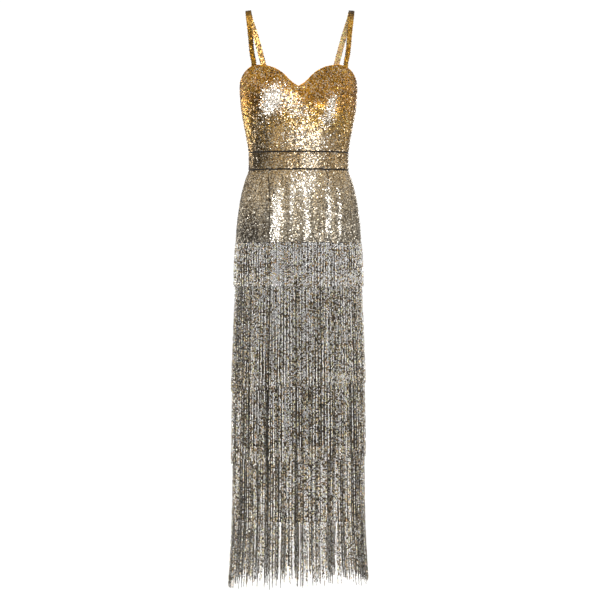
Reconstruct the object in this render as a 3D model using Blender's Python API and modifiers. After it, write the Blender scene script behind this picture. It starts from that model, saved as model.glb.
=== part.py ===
"""Sequin bustier gown with a tiered fringe skirt, as its separate sewn pieces, in metres, +Z up.

The gown keeps the hollow form that it has when it is worn. Its front faces -Y and the wearer's left is at +X.
The origin lies midway between the crests of the two shoulder straps, level with their undersides.
A place on the gown is given by an angle around the body and a height: the angle is 0 at the centre front,
90 degrees at the wearer's left side, -90 at the right side and 180 at the centre back.
"""

import math
from collections import namedtuple

import bmesh
import bpy
import numpy as np
from mathutils import Matrix, Vector

MM = 0.001

# Cloth and how its pieces meet
WALL = 1.5 * MM
SEAM_GAP = 0.4 * MM
LAYER_GAP = 0.3 * MM
BAND_PROUD = 0.4 * MM
PANEL_ROUNDS = 6

# Heights of the horizontal seams, down from the shoulders
BAND_TOP = -0.3686
BAND_BOTTOM = -0.4140
HIP_SEAM = -0.6020
BASE_TUCK = 8 * MM
BASE_GAP = 0.9 * MM
BASE_HEM = -1.3200
BASE_COLUMNS = 52

# The form that the cloth is cut to: half its width, and its depth in front of and behind the side seams
Section = namedtuple("Section", "name height half_width front back")
SECTIONS = (
    Section("shoulder_blades", -0.1200, 0.1470, 0.0790, 0.0900),
    Section("cup_top", -0.1500, 0.1495, 0.0880, 0.0930),
    Section("underarm", -0.2050, 0.1523, 0.1020, 0.0960),
    Section("bust", -0.2570, 0.1483, 0.0980, 0.0940),
    Section("underbust", -0.3090, 0.1390, 0.0870, 0.0870),
    Section("ribs", -0.3400, 0.1332, 0.0830, 0.0825),
    Section("waist_top", -0.3686, 0.1293, 0.0815, 0.0800),
    Section("waist", -0.4000, 0.1284, 0.0815, 0.0795),
    Section("waist_bottom", -0.4140, 0.1290, 0.0820, 0.0805),
    Section("high_hip", -0.4400, 0.1380, 0.0870, 0.0870),
    Section("belly", -0.4700, 0.1463, 0.0930, 0.0960),
    Section("hip", -0.5170, 0.1548, 0.1000, 0.1080),
    Section("seat", -0.5690, 0.1608, 0.1045, 0.1165),
    Section("hip_seam", -0.6020, 0.1627, 0.1065, 0.1185),
    Section("thigh", -0.7180, 0.1634, 0.1090, 0.1200),
    Section("over_knee", -0.8600, 0.1673, 0.1130, 0.1220),
    Section("knee", -0.9750, 0.1698, 0.1160, 0.1240),
    Section("under_knee", -1.1000, 0.1700, 0.1175, 0.1250),
    Section("calf", -1.1900, 0.1686, 0.1180, 0.1255),
    Section("low_calf", -1.2700, 0.1683, 0.1190, 0.1265),
    Section("shin", -1.3750, 0.1710, 0.1215, 0.1295),
    Section("ankle", -1.5000, 0.1785, 0.1275, 0.1350),
)
SQUARENESS = 2.2

# The fullness that the cup darts give to the front
CUP_DEPTH = 14 * MM
CUP_APART = 78 * MM
CUP_HALF_WIDTH = 52 * MM
CUP_HEIGHT = -0.2300
CUP_RISE = 62 * MM
CUP_FALL = 46 * MM
CUP_TURN = 2.0

# The bodice's free edge, from the dip at the centre front over the cup to the centre back
EdgePoint = namedtuple("EdgePoint", "name around height")
TOP_EDGE = (
    EdgePoint("front_dip", 0.0, -0.2030),
    EdgePoint("dip_side", 5.5, -0.1910),
    EdgePoint("cup_inner", 12.6, -0.1710),
    EdgePoint("cup_slope", 20.4, -0.1570),
    EdgePoint("cup_shoulder", 31.2, -0.1483),
    EdgePoint("cup_peak", 41.0, -0.1460),
    EdgePoint("strap_side", 53.0, -0.1495),
    EdgePoint("cup_outer", 65.0, -0.1610),
    EdgePoint("underarm_front", 78.0, -0.1790),
    EdgePoint("underarm", 90.0, -0.1980),
    EdgePoint("underarm_back", 110.0, -0.2180),
    EdgePoint("back_side", 135.0, -0.2300),
    EdgePoint("back_centre", 180.0, -0.2350),
)

# Where the long seams run, as angles around the body
SeamPoint = namedtuple("SeamPoint", "name height front_seam back_seam")
SEAMS = (
    SeamPoint("top", -0.1200, 36.0, 138.0),
    SeamPoint("bust", -0.2250, 38.5, 140.0),
    SeamPoint("underbust", -0.3000, 37.5, 143.0),
    SeamPoint("waist_top", -0.3686, 35.5, 146.0),
    SeamPoint("waist_bottom", -0.4140, 34.0, 147.0),
    SeamPoint("belly", -0.4700, 28.5, 150.0),
    SeamPoint("hip_seam", -0.6020, 25.5, 152.0),
)
SIDE_SEAM = 90.0
CENTRE_BACK = 180.0

# The soft vertical folds of the skirt: a valley has negative depth
Fold = namedtuple("Fold", "name around depth half_width top bottom")
FOLDS = (
    Fold("seam_valley_right", -26.0, -3.4 * MM, 11 * MM, -0.4250, -1.0500),
    Fold("ridge_right", -18.5, 2.4 * MM, 11 * MM, -0.4500, -0.6800),
    Fold("valley_right", -11.5, -2.2 * MM, 11 * MM, -0.4400, -0.8000),
    Fold("ridge_centre", 5.5, 2.2 * MM, 12 * MM, -0.4300, -0.6800),
    Fold("valley_centre", 0.0, -1.6 * MM, 11 * MM, -0.6000, -1.3000),
    Fold("valley_left", 14.0, -2.0 * MM, 11 * MM, -0.4300, -0.8200),
    Fold("ridge_left", 21.0, 2.2 * MM, 11 * MM, -0.4400, -0.6800),
    Fold("seam_valley_left", 29.0, -2.8 * MM, 11 * MM, -0.4350, -1.3500),
    Fold("hip_valley_right", -48.0, -2.6 * MM, 18 * MM, -0.5000, -1.4000),
    Fold("hip_valley_left", 52.0, -2.4 * MM, 18 * MM, -0.5200, -1.4000),
    Fold("side_valley_right", -74.0, -1.8 * MM, 16 * MM, -0.6500, -1.5000),
    Fold("side_valley_left", 77.0, -1.8 * MM, 16 * MM, -0.6500, -1.5000),
    Fold("back_valley_right", -152.0, -2.8 * MM, 13 * MM, -0.5000, -1.2000),
    Fold("back_valley_left", 154.0, -2.8 * MM, 13 * MM, -0.5000, -1.3000),
    Fold("back_ridge_right", -165.0, 2.2 * MM, 13 * MM, -0.5400, -0.6800),
    Fold("back_ridge_left", 167.0, 2.4 * MM, 13 * MM, -0.5400, -0.6800),
    Fold("seat_valley_right", -122.0, -2.6 * MM, 18 * MM, -0.5800, -1.4000),
    Fold("seat_valley_left", 124.0, -2.4 * MM, 18 * MM, -0.6200, -1.4000),
)
FOLD_FADE = 70 * MM

# The straps: where each one leaves the bodice, and how much further out than the path it stands
Strap = namedtuple("Strap", "name sign front_around back_around spread")
STRAPS = (
    Strap("strap_left", 1, 55.0, 152.0, 7.5 * MM),
    Strap("strap_right", -1, 50.0, 155.5, 0.0),
)
STRAP_WIDTH = 14.5 * MM
STRAP_WALL = 1.8 * MM
STRAP_STEPS = 2
STRAP_TUCK = 10 * MM
STRAP_TUCK_SHARES = (1.0, 0.5, 0.0, -0.5)
STRAP_GAP = 0.9 * MM
TANGENT_STEP = 0.004

# The path over a shoulder, and the way that the strap's face looks there, around the body and upwards
StrapPoint = namedtuple("StrapPoint", "name x y z facing lift")
STRAP_PATH = (
    StrapPoint("chest", 0.1200, -0.0470, -0.1130, 38.0, 18.0),
    StrapPoint("collarbone", 0.1248, -0.0370, -0.0620, 42.0, 35.0),
    StrapPoint("shoulder_front", 0.1292, -0.0200, -0.0180, 52.0, 65.0),
    StrapPoint("crest", 0.1307, 0.0030, 0.0008, 90.0, 84.0),
    StrapPoint("shoulder_back", 0.1272, 0.0290, -0.0150, 130.0, 66.0),
    StrapPoint("blade_top", 0.1145, 0.0520, -0.0520, 150.0, 38.0),
    StrapPoint("blade", 0.0968, 0.0690, -0.1150, 160.0, 15.0),
    StrapPoint("low_blade", 0.0812, 0.0792, -0.1750, 164.0, 5.0),
)

# The fringe: a row for each tier, from the hip down
Tier = namedtuple("Tier", "name root knee tip stand_off flare tilt")
FRINGE_TIERS = (
    Tier("fringe_tier_1", HIP_SEAM - SEAM_GAP, -0.6720, -0.7180, 3.0 * MM, 3.8 * MM, 0.0),
    Tier("fringe_tier_2", -0.6800, -0.9280, -0.9770, 3.0 * MM, 4.0 * MM, 11 * MM),
    Tier("fringe_tier_3", -0.9350, -1.1150, -1.1660, 3.0 * MM, 5.0 * MM, 10 * MM),
    Tier("fringe_tier_4", -1.1250, -1.3000, -1.4840, 2.0 * MM, 3.2 * MM, 5 * MM),
)
FRINGE_GAP = 0.9 * MM
LOCKS_PER_TIER = 52
LOCK_SHARE = 0.72
LOCK_TIP_SHARE = 0.7
LOCK_WALL = 1.6 * MM
STRIP_HEIGHT = 6 * MM
LENGTH_UNEVENNESS = 9 * MM
SEED = 7

# The zip's slider and pull tab, at the top of the centre back seam
SLIDER_WIDTH = 5.2 * MM
SLIDER_DEPTH = 2.0 * MM
SLIDER_HEIGHT = 9.0 * MM
SLIDER_DROP = 7.0 * MM
CHEEK_WIDTH = 0.8 * MM
CHEEK_REACH = 1.1 * MM
CHEEK_ROOT = 0.5 * MM
PIN_RADIUS = 0.45 * MM
PIN_STAND_OFF = 1.8 * MM
KNUCKLE_RADIUS = 1.35 * MM
KNUCKLE_BORE = 0.80 * MM
KNUCKLE_WIDTH = 2.6 * MM
TAB_LENGTH = 19.0 * MM
TAB_WIDTH = 6.0 * MM
TAB_WALL = 0.9 * MM
ROUND_STEPS = 16

# The tab's outline, as shares of its half width and of its length, with the two handles of each point
OutlinePoint = namedtuple(
    "OutlinePoint", "name across down before_across before_down after_across after_down"
)
TAB_OUTLINE = (
    OutlinePoint("neck_right", -0.35, 0.02, -0.12, 0.02, -0.35, 0.26),
    OutlinePoint("belly_right", -1.00, 0.72, -1.00, 0.52, -1.00, 0.88),
    OutlinePoint("foot", 0.00, 1.00, -0.60, 1.00, 0.60, 1.00),
    OutlinePoint("belly_left", 1.00, 0.72, 1.00, 0.88, 1.00, 0.52),
    OutlinePoint("neck_left", 0.35, 0.02, 0.35, 0.26, 0.12, 0.02),
)
TAB_CURVE_STEPS = 6
WELD = 0.001 * MM

GOLD = (0.62, 0.40, 0.12, 1.0)
PALE_GOLD = (0.55, 0.46, 0.30, 1.0)
SMOKE_SILVER = (0.36, 0.33, 0.29, 1.0)
TAUPE = (0.10, 0.08, 0.06, 1.0)
BRASS = (0.60, 0.45, 0.20, 1.0)


def curve_through(stations, values, at):
    """Smooth curve through a table's values: a cubic between neighbours, with the slopes of their chords."""
    order = np.argsort(stations)
    xs = np.asarray(stations, float)[order]
    ys = np.asarray(values, float)[order]
    slopes = np.gradient(ys, xs)
    at = np.clip(np.asarray(at, float), xs[0], xs[-1])
    place = np.clip(np.searchsorted(xs, at) - 1, 0, len(xs) - 2)
    span = xs[place + 1] - xs[place]
    t = (at - xs[place]) / span
    return (
        (1 + 2 * t) * (1 - t) ** 2 * ys[place]
        + t * (1 - t) ** 2 * span * slopes[place]
        + t * t * (3 - 2 * t) * ys[place + 1]
        + t * t * (t - 1) * span * slopes[place + 1]
    )


def column(table, name):
    """One named column of a table as a list."""
    return [getattr(row, name) for row in table]


def smooth_step(t):
    """0 below 0, 1 above 1, and an even S between them."""
    t = np.clip(t, 0, 1)
    return t * t * (3 - 2 * t)


def worn_form(around, height):
    """Points of the form, from the table of sections, with the fullness of the cups."""
    angle = np.radians(around)
    half_width = curve_through(column(SECTIONS, "height"), column(SECTIONS, "half_width"), height)
    front = curve_through(column(SECTIONS, "height"), column(SECTIONS, "front"), height)
    back = curve_through(column(SECTIONS, "height"), column(SECTIONS, "back"), height)
    sine, cosine = np.sin(angle), np.cos(angle)
    power = 2 / SQUARENESS
    x = half_width * np.sign(sine) * np.abs(sine) ** power
    y = -np.where(cosine > 0, front, back) * np.sign(cosine) * np.abs(cosine) ** power
    rise = np.where(height > CUP_HEIGHT, CUP_RISE, CUP_FALL)
    fullness = np.exp(-(((height - CUP_HEIGHT) / rise) ** 2))
    fullness = fullness * np.exp(-(((np.abs(x) - CUP_APART) / CUP_HALF_WIDTH) ** 2))
    y = y - CUP_DEPTH * fullness * smooth_step(cosine * CUP_TURN)
    return np.stack([x, y, height + 0 * x], axis=-1)


def directions(around, height):
    """The way out of the form, and how far a point moves for each degree around it."""
    step_around, step_height = 0.05, 0.2 * MM
    sideways = worn_form(around + step_around, height) - worn_form(around - step_around, height)
    upwards = worn_form(around, height + step_height) - worn_form(around, height - step_height)
    outwards = np.cross(sideways, upwards)
    outwards = outwards / np.linalg.norm(outwards, axis=-1, keepdims=True)
    return outwards, np.linalg.norm(sideways, axis=-1) / (2 * step_around)


def fold_depth(around, height, per_degree):
    """How far the folds push the cloth out or in: each is a bell across, and fades at its two ends."""
    total = np.zeros(np.broadcast(around, height).shape)
    for fold in FOLDS:
        apart = (np.asarray(around) - fold.around + 180) % 360 - 180
        across = np.exp(-((apart * per_degree / fold.half_width) ** 2))
        down = smooth_step((fold.top - height) / FOLD_FADE)
        up = smooth_step((height - fold.bottom) / FOLD_FADE)
        total = total + fold.depth * across * down * up
    return total


def cloth_point(around, height, out=0.0):
    """Points of the cloth's outer face, moved out of it by a distance."""
    around, height = np.broadcast_arrays(np.asarray(around, float), np.asarray(height, float))
    outwards, per_degree = directions(around, height)
    reach = fold_depth(around, height, per_degree) + out
    return worn_form(around, height) + outwards * reach[..., None]


def top_edge(around):
    """Height of the bodice's free edge at an angle."""
    return curve_through(column(TOP_EDGE, "around"), column(TOP_EDGE, "height"), np.abs(around))


def front_seam(height):
    """Angle of the front princess seam at a height."""
    return curve_through(column(SEAMS, "height"), column(SEAMS, "front_seam"), height)


def back_seam(height):
    """Angle of the back princess seam at a height."""
    return curve_through(column(SEAMS, "height"), column(SEAMS, "back_seam"), height)


def level(value):
    """A line that stays at one value all along."""
    return lambda along: value + 0 * np.asarray(along, float)


def mirrored(line):
    """The same seam on the wearer's right."""
    return lambda height: -line(height)


def material(name, colour, roughness, metallic):
    """A plain Principled material."""
    made = bpy.data.materials.new(name)
    made.use_nodes = True
    shader = made.node_tree.nodes["Principled BSDF"]
    shader.inputs["Base Color"].default_value = colour
    shader.inputs["Roughness"].default_value = roughness
    shader.inputs["Metallic"].default_value = metallic
    made.diffuse_color = colour
    return made


def add_part(name, mesh, finish, parts):
    """A named object in the gown's collection."""
    part = bpy.data.objects.new(name, mesh)
    mesh.materials.append(finish)
    parts.objects.link(part)
    return part


def grid_mesh(name, columns, rows, place):
    """A flat grid bent to shape: place turns its two coordinates, each 0 to 1, into points."""
    made = bmesh.new()
    bmesh.ops.create_grid(made, x_segments=columns, y_segments=rows, size=0.5)
    flat = np.array([vertex.co[:2] for vertex in made.verts]) + 0.5
    for vertex, point in zip(made.verts, place(flat[:, 0], flat[:, 1])):
        vertex.co = point
    mesh = bpy.data.meshes.new(name)
    made.to_mesh(mesh)
    made.free()
    return mesh


def give_wall(part, thickness, offset):
    """Turns an open surface into a wall of cloth."""
    wall = part.modifiers.new("Wall", "SOLIDIFY")
    wall.thickness = thickness
    wall.offset = offset


def cloth_panel(name, sides, ends, size, finish, parts, out=0.0, shares=(0.0, 1.0)):
    """One cut piece between two seams and two edges, with its wall turned inwards.

    sides are two functions of height that give angles, ends are two functions of angle that give heights,
    size is the number of columns and rows of its grid, and shares are where the rows lie, from foot to top.
    """

    def place(across, up):
        around = np.full(len(across), (sides[0](BAND_TOP) + sides[1](BAND_TOP)) / 2)
        up = np.interp(up, np.linspace(0, 1, len(shares)), shares)
        for _ in range(PANEL_ROUNDS):
            height = ends[0](around) + up * (ends[1](around) - ends[0](around))
            margin = SEAM_GAP / 2 / directions(around, height)[1]
            first, last = sides[0](height) + margin, sides[1](height) - margin
            around = first + across * (last - first)
        return cloth_point(around, height, out)

    part = add_part(name, grid_mesh(name, *size, place), finish, parts)
    give_wall(part, WALL, -1.0)


def build_bodice(finish, parts):
    """Seven panels from the waistband up to the free edge."""
    ends = (level(BAND_TOP + SEAM_GAP / 2), top_edge)
    side = level(SIDE_SEAM)
    cuts = (
        ("bodice_centre_front", (mirrored(front_seam), front_seam), (16, 9)),
        ("bodice_side_front_left", (front_seam, side), (11, 9)),
        ("bodice_side_front_right", (mirrored(side), mirrored(front_seam)), (11, 9)),
        ("bodice_side_back_left", (side, back_seam), (9, 6)),
        ("bodice_side_back_right", (mirrored(back_seam), mirrored(side)), (9, 6)),
        ("bodice_centre_back_left", (back_seam, level(CENTRE_BACK)), (6, 6)),
        ("bodice_centre_back_right", (level(-CENTRE_BACK), mirrored(back_seam)), (6, 6)),
    )
    for name, sides, size in cuts:
        cloth_panel(name, sides, ends, size, finish, parts)


def build_waistband(finish, parts):
    """A front and two backs, a little proud of the panels above and below."""
    ends = (level(BAND_BOTTOM + SEAM_GAP / 2), level(BAND_TOP - SEAM_GAP / 2))
    side, centre_back = level(SIDE_SEAM), level(CENTRE_BACK)
    cuts = (
        ("waistband_front", (mirrored(side), side), (22, 2)),
        ("waistband_back_left", (side, centre_back), (11, 2)),
        ("waistband_back_right", (mirrored(centre_back), mirrored(side)), (11, 2)),
    )
    for name, sides, size in cuts:
        cloth_panel(name, sides, ends, size, finish, parts, BAND_PROUD)


def build_hip_skirt(finish, parts):
    """Seven panels from the waistband down to the seam that starts the fringe."""
    ends = (level(HIP_SEAM), level(BAND_BOTTOM - SEAM_GAP / 2))
    side = level(SIDE_SEAM)
    cuts = (
        ("skirt_centre_front", (mirrored(front_seam), front_seam), (18, 5)),
        ("skirt_side_front_left", (front_seam, side), (16, 5)),
        ("skirt_side_front_right", (mirrored(side), mirrored(front_seam)), (16, 5)),
        ("skirt_side_back_left", (side, back_seam), (14, 5)),
        ("skirt_side_back_right", (mirrored(back_seam), mirrored(side)), (14, 5)),
        ("skirt_centre_back_left", (back_seam, level(CENTRE_BACK)), (9, 5)),
        ("skirt_centre_back_right", (level(-CENTRE_BACK), mirrored(back_seam)), (9, 5)),
    )
    for name, sides, size in cuts:
        cloth_panel(name, sides, ends, size, finish, parts)


def build_base_skirt(finish, parts):
    """The plain skirt under the fringe, tucked inside the hip seam, with a row wherever the fringe bends."""
    top = HIP_SEAM + BASE_TUCK
    ends = (level(BASE_HEM), level(top))
    bends = [tier.knee for tier in FRINGE_TIERS[:0:-1]] + [FRINGE_TIERS[1].root]
    shares = [(height - BASE_HEM) / (top - BASE_HEM) for height in (BASE_HEM, *bends, top)]
    size = (BASE_COLUMNS, len(shares) - 1)
    side = level(SIDE_SEAM)
    inset = -(WALL + BASE_GAP)
    turned = level(2 * CENTRE_BACK - SIDE_SEAM)
    for name, sides in (("base_skirt_front", (mirrored(side), side)), ("base_skirt_back", (side, turned))):
        cloth_panel(name, sides, ends, size, finish, parts, inset, shares)


def strap_line(strap):
    """Points along a strap and the way its face looks, with both ends tucked inside the bodice."""
    inside = -(WALL + STRAP_GAP + STRAP_WALL / 2)
    rows = []
    for around, is_front in ((strap.front_around, True), (strap.back_around, False)):
        edge = float(top_edge(around))
        tucked = [cloth_point(around, edge - STRAP_TUCK * share, inside) for share in STRAP_TUCK_SHARES]
        looks = directions(around, edge)[0]
        facing, lift = np.degrees(np.arctan2(looks[0], -looks[1])), np.degrees(np.arcsin(looks[2]))
        ends = [(*point, facing, lift) for point in tucked]
        rows.append(ends if is_front else ends[::-1])
    middle = [(row.x + strap.spread, row.y, row.z, row.facing, row.lift) for row in STRAP_PATH]
    table = np.array(rows[0] + middle + rows[1])
    steps = np.linalg.norm(np.diff(table[:, :3], axis=0), axis=1)
    length = np.concatenate([[0.0], np.cumsum(steps)])

    def along(share):
        reached = np.interp(share, np.linspace(0, 1, len(length)), length)
        found = np.stack([curve_through(length, values, reached) for values in table.T], -1)
        facing, lift = np.radians(found[..., 3]), np.radians(found[..., 4])
        looks = np.stack(
            [np.sin(facing) * np.cos(lift), -np.cos(facing) * np.cos(lift), np.sin(lift)], -1
        )
        side = np.array([strap.sign, 1.0, 1.0])
        return found[..., :3] * side, looks * side

    return along, len(length) - 1


def build_strap(strap, finish, parts):
    """A flat strip over one shoulder, from inside the cup's edge to inside the back's edge."""
    along, stretches = strap_line(strap)

    def place(share, across):
        points, looks = along(share)
        ahead, behind = np.minimum(share + TANGENT_STEP, 1), np.maximum(share - TANGENT_STEP, 0)
        tangent = along(ahead)[0] - along(behind)[0]
        width = np.cross(tangent, looks)
        width = width / np.linalg.norm(width, axis=-1, keepdims=True)
        return points + width * ((across - 0.5) * STRAP_WIDTH)[:, None]

    mesh = grid_mesh(strap.name, stretches * STRAP_STEPS, 2, place)
    give_wall(add_part(strap.name, mesh, finish, parts), STRAP_WALL, 0.0)


def build_fringe_tier(tier, uneven, finish, parts):
    """A narrow heading strip right round the skirt, with its locks drawn down out of it.

    The strip is a ring of wide and narrow lengths in turn; the foot of each wide one is extruded into a lock.
    """
    pitch = 360.0 / LOCKS_PER_TIER
    starts = np.arange(LOCKS_PER_TIER) * pitch - 180.0
    edges = np.stack([starts, starts + pitch * LOCK_SHARE], axis=1).ravel()
    inner = -(WALL + BASE_GAP) + FRINGE_GAP
    outer = inner + LOCK_WALL
    top, foot = tier.root, tier.root - STRIP_HEIGHT
    strip = ((foot, inner), (foot, outer), (top, outer), (top, inner))
    made = bmesh.new()
    rings = [[made.verts.new(point) for point in cloth_point(edges, height, out)] for height, out in strip]
    feet = []
    count = len(edges)
    for i in range(count):
        after = (i + 1) % count
        for k in range(4):
            low, high = rings[k], rings[(k + 1) % 4]
            face = made.faces.new((low[i], low[after], high[after], high[i]))
            if k == 0 and i % 2 == 0:
                feet.append(face)
    middles = starts + pitch * LOCK_SHARE / 2
    tips = tier.tip + uneven + tier.tilt * np.sin(np.radians(middles))
    corners = ((-1, inner), (1, inner), (1, outer), (-1, outer))
    for face, middle, tip in zip(feet, middles, tips):
        for width, height, out in ((1.0, tier.knee, tier.stand_off), (LOCK_TIP_SHARE, tip, tier.flare)):
            face = bmesh.ops.extrude_discrete_faces(made, faces=[face])["faces"][0]
            half = pitch * LOCK_SHARE / 2 * width
            for vertex, (side, depth) in zip(face.verts, corners):
                vertex.co = cloth_point(middle + side * half, height, depth + out)
    bmesh.ops.recalc_face_normals(made, faces=made.faces)
    mesh = bpy.data.meshes.new(tier.name)
    made.to_mesh(mesh)
    made.free()
    add_part(tier.name, mesh, finish, parts)


def box_mesh(name, low, high):
    """A box between two corners."""
    made = bmesh.new()
    size = Vector(high) - Vector(low)
    bmesh.ops.create_cube(made, size=1.0)
    bmesh.ops.scale(made, vec=size, verts=made.verts)
    bmesh.ops.translate(made, vec=(Vector(low) + Vector(high)) / 2, verts=made.verts)
    mesh = bpy.data.meshes.new(name)
    made.to_mesh(mesh)
    made.free()
    return mesh


def rod_mesh(name, radius, length):
    """A cylinder along X, centred on the origin."""
    made = bmesh.new()
    turned = Matrix.Rotation(math.pi / 2, 4, "Y")
    bmesh.ops.create_cone(
        made, cap_ends=True, segments=ROUND_STEPS, radius1=radius, radius2=radius, depth=length, matrix=turned
    )
    mesh = bpy.data.meshes.new(name)
    made.to_mesh(mesh)
    made.free()
    return mesh


def add_tool(name, mesh, place, tools):
    """A helper for a Boolean, kept out of the render."""
    tool = bpy.data.objects.new(name, mesh)
    tool.location = place
    tool.hide_render = True
    tool.display_type = "WIRE"
    tools.objects.link(tool)
    return tool


def combine(part, tool, operation):
    """Joins a helper to a part, or cuts it out of the part."""
    step = part.modifiers.new(tool.name, "BOOLEAN")
    step.object = tool
    step.operation = operation
    step.solver = "EXACT"


def build_zip(finish, parts, tools):
    """The slider at the top of the centre back seam, and the pull tab that swings on its pin."""
    height = float(top_edge(CENTRE_BACK)) - SLIDER_DROP
    seat = cloth_point(CENTRE_BACK, height)[1] + LAYER_GAP
    face = seat + SLIDER_DEPTH
    pin = Vector((0.0, face + PIN_STAND_OFF, height))
    half = Vector((SLIDER_WIDTH, 0.0, SLIDER_HEIGHT)) / 2
    body = box_mesh("zip_slider", (-half.x, seat - pin.y, -half.z), (half.x, face - pin.y, half.z))
    slider = add_part("zip_slider", body, finish, parts)
    slider.location = pin
    for side in (-1, 1):
        outside, inside = side * half.x, side * (half.x - CHEEK_WIDTH)
        low = (min(outside, inside), face - pin.y - CHEEK_ROOT, -CHEEK_REACH)
        cheek = box_mesh("cheek", low, (max(outside, inside), CHEEK_REACH, CHEEK_REACH))
        combine(slider, add_tool(f"cheek_{side}", cheek, pin, tools), "UNION")
    pin_length = SLIDER_WIDTH - CHEEK_WIDTH
    combine(slider, add_tool("pin", rod_mesh("pin", PIN_RADIUS, pin_length), pin, tools), "UNION")

    tab = add_part("zip_pull_tab", rod_mesh("zip_pull_tab", KNUCKLE_RADIUS, KNUCKLE_WIDTH), finish, parts)
    tab.location = pin
    outline = bpy.data.curves.new("tab_outline", "CURVE")
    outline.dimensions = "2D"
    outline.fill_mode = "BOTH"
    outline.extrude = TAB_WALL / 2
    outline.resolution_u = TAB_CURVE_STEPS
    drop = outline.splines.new("BEZIER")
    drop.bezier_points.add(len(TAB_OUTLINE) - 1)
    half_tab = TAB_WIDTH / 2
    for point, row in zip(drop.bezier_points, TAB_OUTLINE):
        point.co = (row.across * half_tab, -row.down * TAB_LENGTH, 0.0)
        point.handle_left = (row.before_across * half_tab, -row.before_down * TAB_LENGTH, 0.0)
        point.handle_right = (row.after_across * half_tab, -row.after_down * TAB_LENGTH, 0.0)
    drop.use_cyclic_u = True
    flat = bpy.data.objects.new("tab_outline", outline)
    tools.objects.link(flat)
    bpy.context.view_layer.update()
    plate = bpy.data.meshes.new_from_object(flat.evaluated_get(bpy.context.evaluated_depsgraph_get()))
    welded = bmesh.new()
    welded.from_mesh(plate)
    bmesh.ops.remove_doubles(welded, verts=welded.verts, dist=WELD)
    welded.to_mesh(plate)
    welded.free()
    bpy.data.objects.remove(flat)
    plate.transform(Matrix.Rotation(math.pi / 2, 4, "X"))
    combine(tab, add_tool("tab_plate", plate, pin, tools), "UNION")
    bore = rod_mesh("tab_bore", KNUCKLE_BORE, KNUCKLE_WIDTH * 2)
    combine(tab, add_tool("tab_bore", bore, pin, tools), "DIFFERENCE")


def main():
    """Clears the scene and builds every piece of the gown."""
    for leftover in list(bpy.data.objects):
        bpy.data.objects.remove(leftover)
    parts = bpy.data.collections.new("fringed_bustier_gown")
    tools = bpy.data.collections.new("cutters")
    for group in (parts, tools):
        bpy.context.scene.collection.children.link(group)

    gold = material("gold_sequin_cloth", GOLD, 0.35, 0.9)
    pale = material("pale_gold_sequin_cloth", PALE_GOLD, 0.35, 0.9)
    smoke = material("smoke_silver_beads", SMOKE_SILVER, 0.35, 0.9)
    taupe = material("taupe_base_cloth", TAUPE, 0.8, 0.0)
    brass = material("brass_zip", BRASS, 0.3, 1.0)

    build_bodice(gold, parts)
    build_waistband(pale, parts)
    build_hip_skirt(pale, parts)
    build_base_skirt(taupe, parts)
    for strap in STRAPS:
        build_strap(strap, gold, parts)
    chance = np.random.default_rng(SEED)
    for tier in FRINGE_TIERS:
        uneven = chance.uniform(-LENGTH_UNEVENNESS, 0.0, LOCKS_PER_TIER)
        build_fringe_tier(tier, uneven, smoke, parts)
    build_zip(brass, parts, tools)


main()
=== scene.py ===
"""Looks of the sequin bustier gown with a tiered bead fringe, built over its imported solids.

Every length is in metres, unless a comment or a docstring says mm, in the frame of the solids: the front faces -Y,
the wearer's left is at +X and +Z is up.
A place on the gown is an angle around the body, in degrees from the centre front, and a height.
"""

import logging
import math
from dataclasses import dataclass
from enum import Enum
from typing import Callable, Sequence, TypeVar

import bmesh
import bpy
import numpy as np
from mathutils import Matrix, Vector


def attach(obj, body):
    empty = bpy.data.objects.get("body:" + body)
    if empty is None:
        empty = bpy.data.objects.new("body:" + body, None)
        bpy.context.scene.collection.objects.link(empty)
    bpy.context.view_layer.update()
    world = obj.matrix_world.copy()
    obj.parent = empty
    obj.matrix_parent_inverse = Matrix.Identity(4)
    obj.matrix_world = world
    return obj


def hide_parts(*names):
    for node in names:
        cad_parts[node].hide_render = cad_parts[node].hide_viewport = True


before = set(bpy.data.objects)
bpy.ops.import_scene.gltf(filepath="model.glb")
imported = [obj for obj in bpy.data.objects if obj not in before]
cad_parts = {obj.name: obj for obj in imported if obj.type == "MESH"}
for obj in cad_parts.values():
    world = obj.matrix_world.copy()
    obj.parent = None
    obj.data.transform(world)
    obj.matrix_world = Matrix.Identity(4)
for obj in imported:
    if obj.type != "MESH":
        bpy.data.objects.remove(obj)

Array = np.ndarray
Line = Callable[[Array], Array]
Row = TypeVar("Row")
BODY = "gown"
MM = 0.001
SEED = 11
log = logging.getLogger("gown")
chance = np.random.default_rng(SEED)


# ---- numbers and small tools


def smooth_step(t: Array) -> Array:
    """An even S from 0 to 1: three t squared less two t cubed, held flat outside 0 to 1.

    Args:
        t: where on the step each value lies.

    Returns:
        The step's height at each place.
    """
    t = np.clip(t, 0.0, 1.0)
    return t * t * (3.0 - 2.0 * t)


def curve_through(stations: Sequence[float], values: Sequence[float], at: Array) -> Array:
    """A smooth curve through a table: between two rows it is the cubic whose end slopes are the chords' slopes.

    Args:
        stations: where the table's rows lie, in any order.
        values: the table's value at each station.
        at: the places asked for, held inside the table.

    Returns:
        The curve's value at each place.
    """
    order = np.argsort(stations)
    xs = np.asarray(stations, float)[order]
    ys = np.asarray(values, float)[order]
    slopes = np.gradient(ys, xs)
    at = np.clip(np.asarray(at, float), xs[0], xs[-1])
    k = np.clip(np.searchsorted(xs, at) - 1, 0, len(xs) - 2)
    span = xs[k + 1] - xs[k]
    t = (at - xs[k]) / span
    return (
        (1 + 2 * t) * (1 - t) ** 2 * ys[k]
        + t * (1 - t) ** 2 * span * slopes[k]
        + t * t * (3 - 2 * t) * ys[k + 1]
        + t * t * (t - 1) * span * slopes[k + 1]
    )


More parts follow.
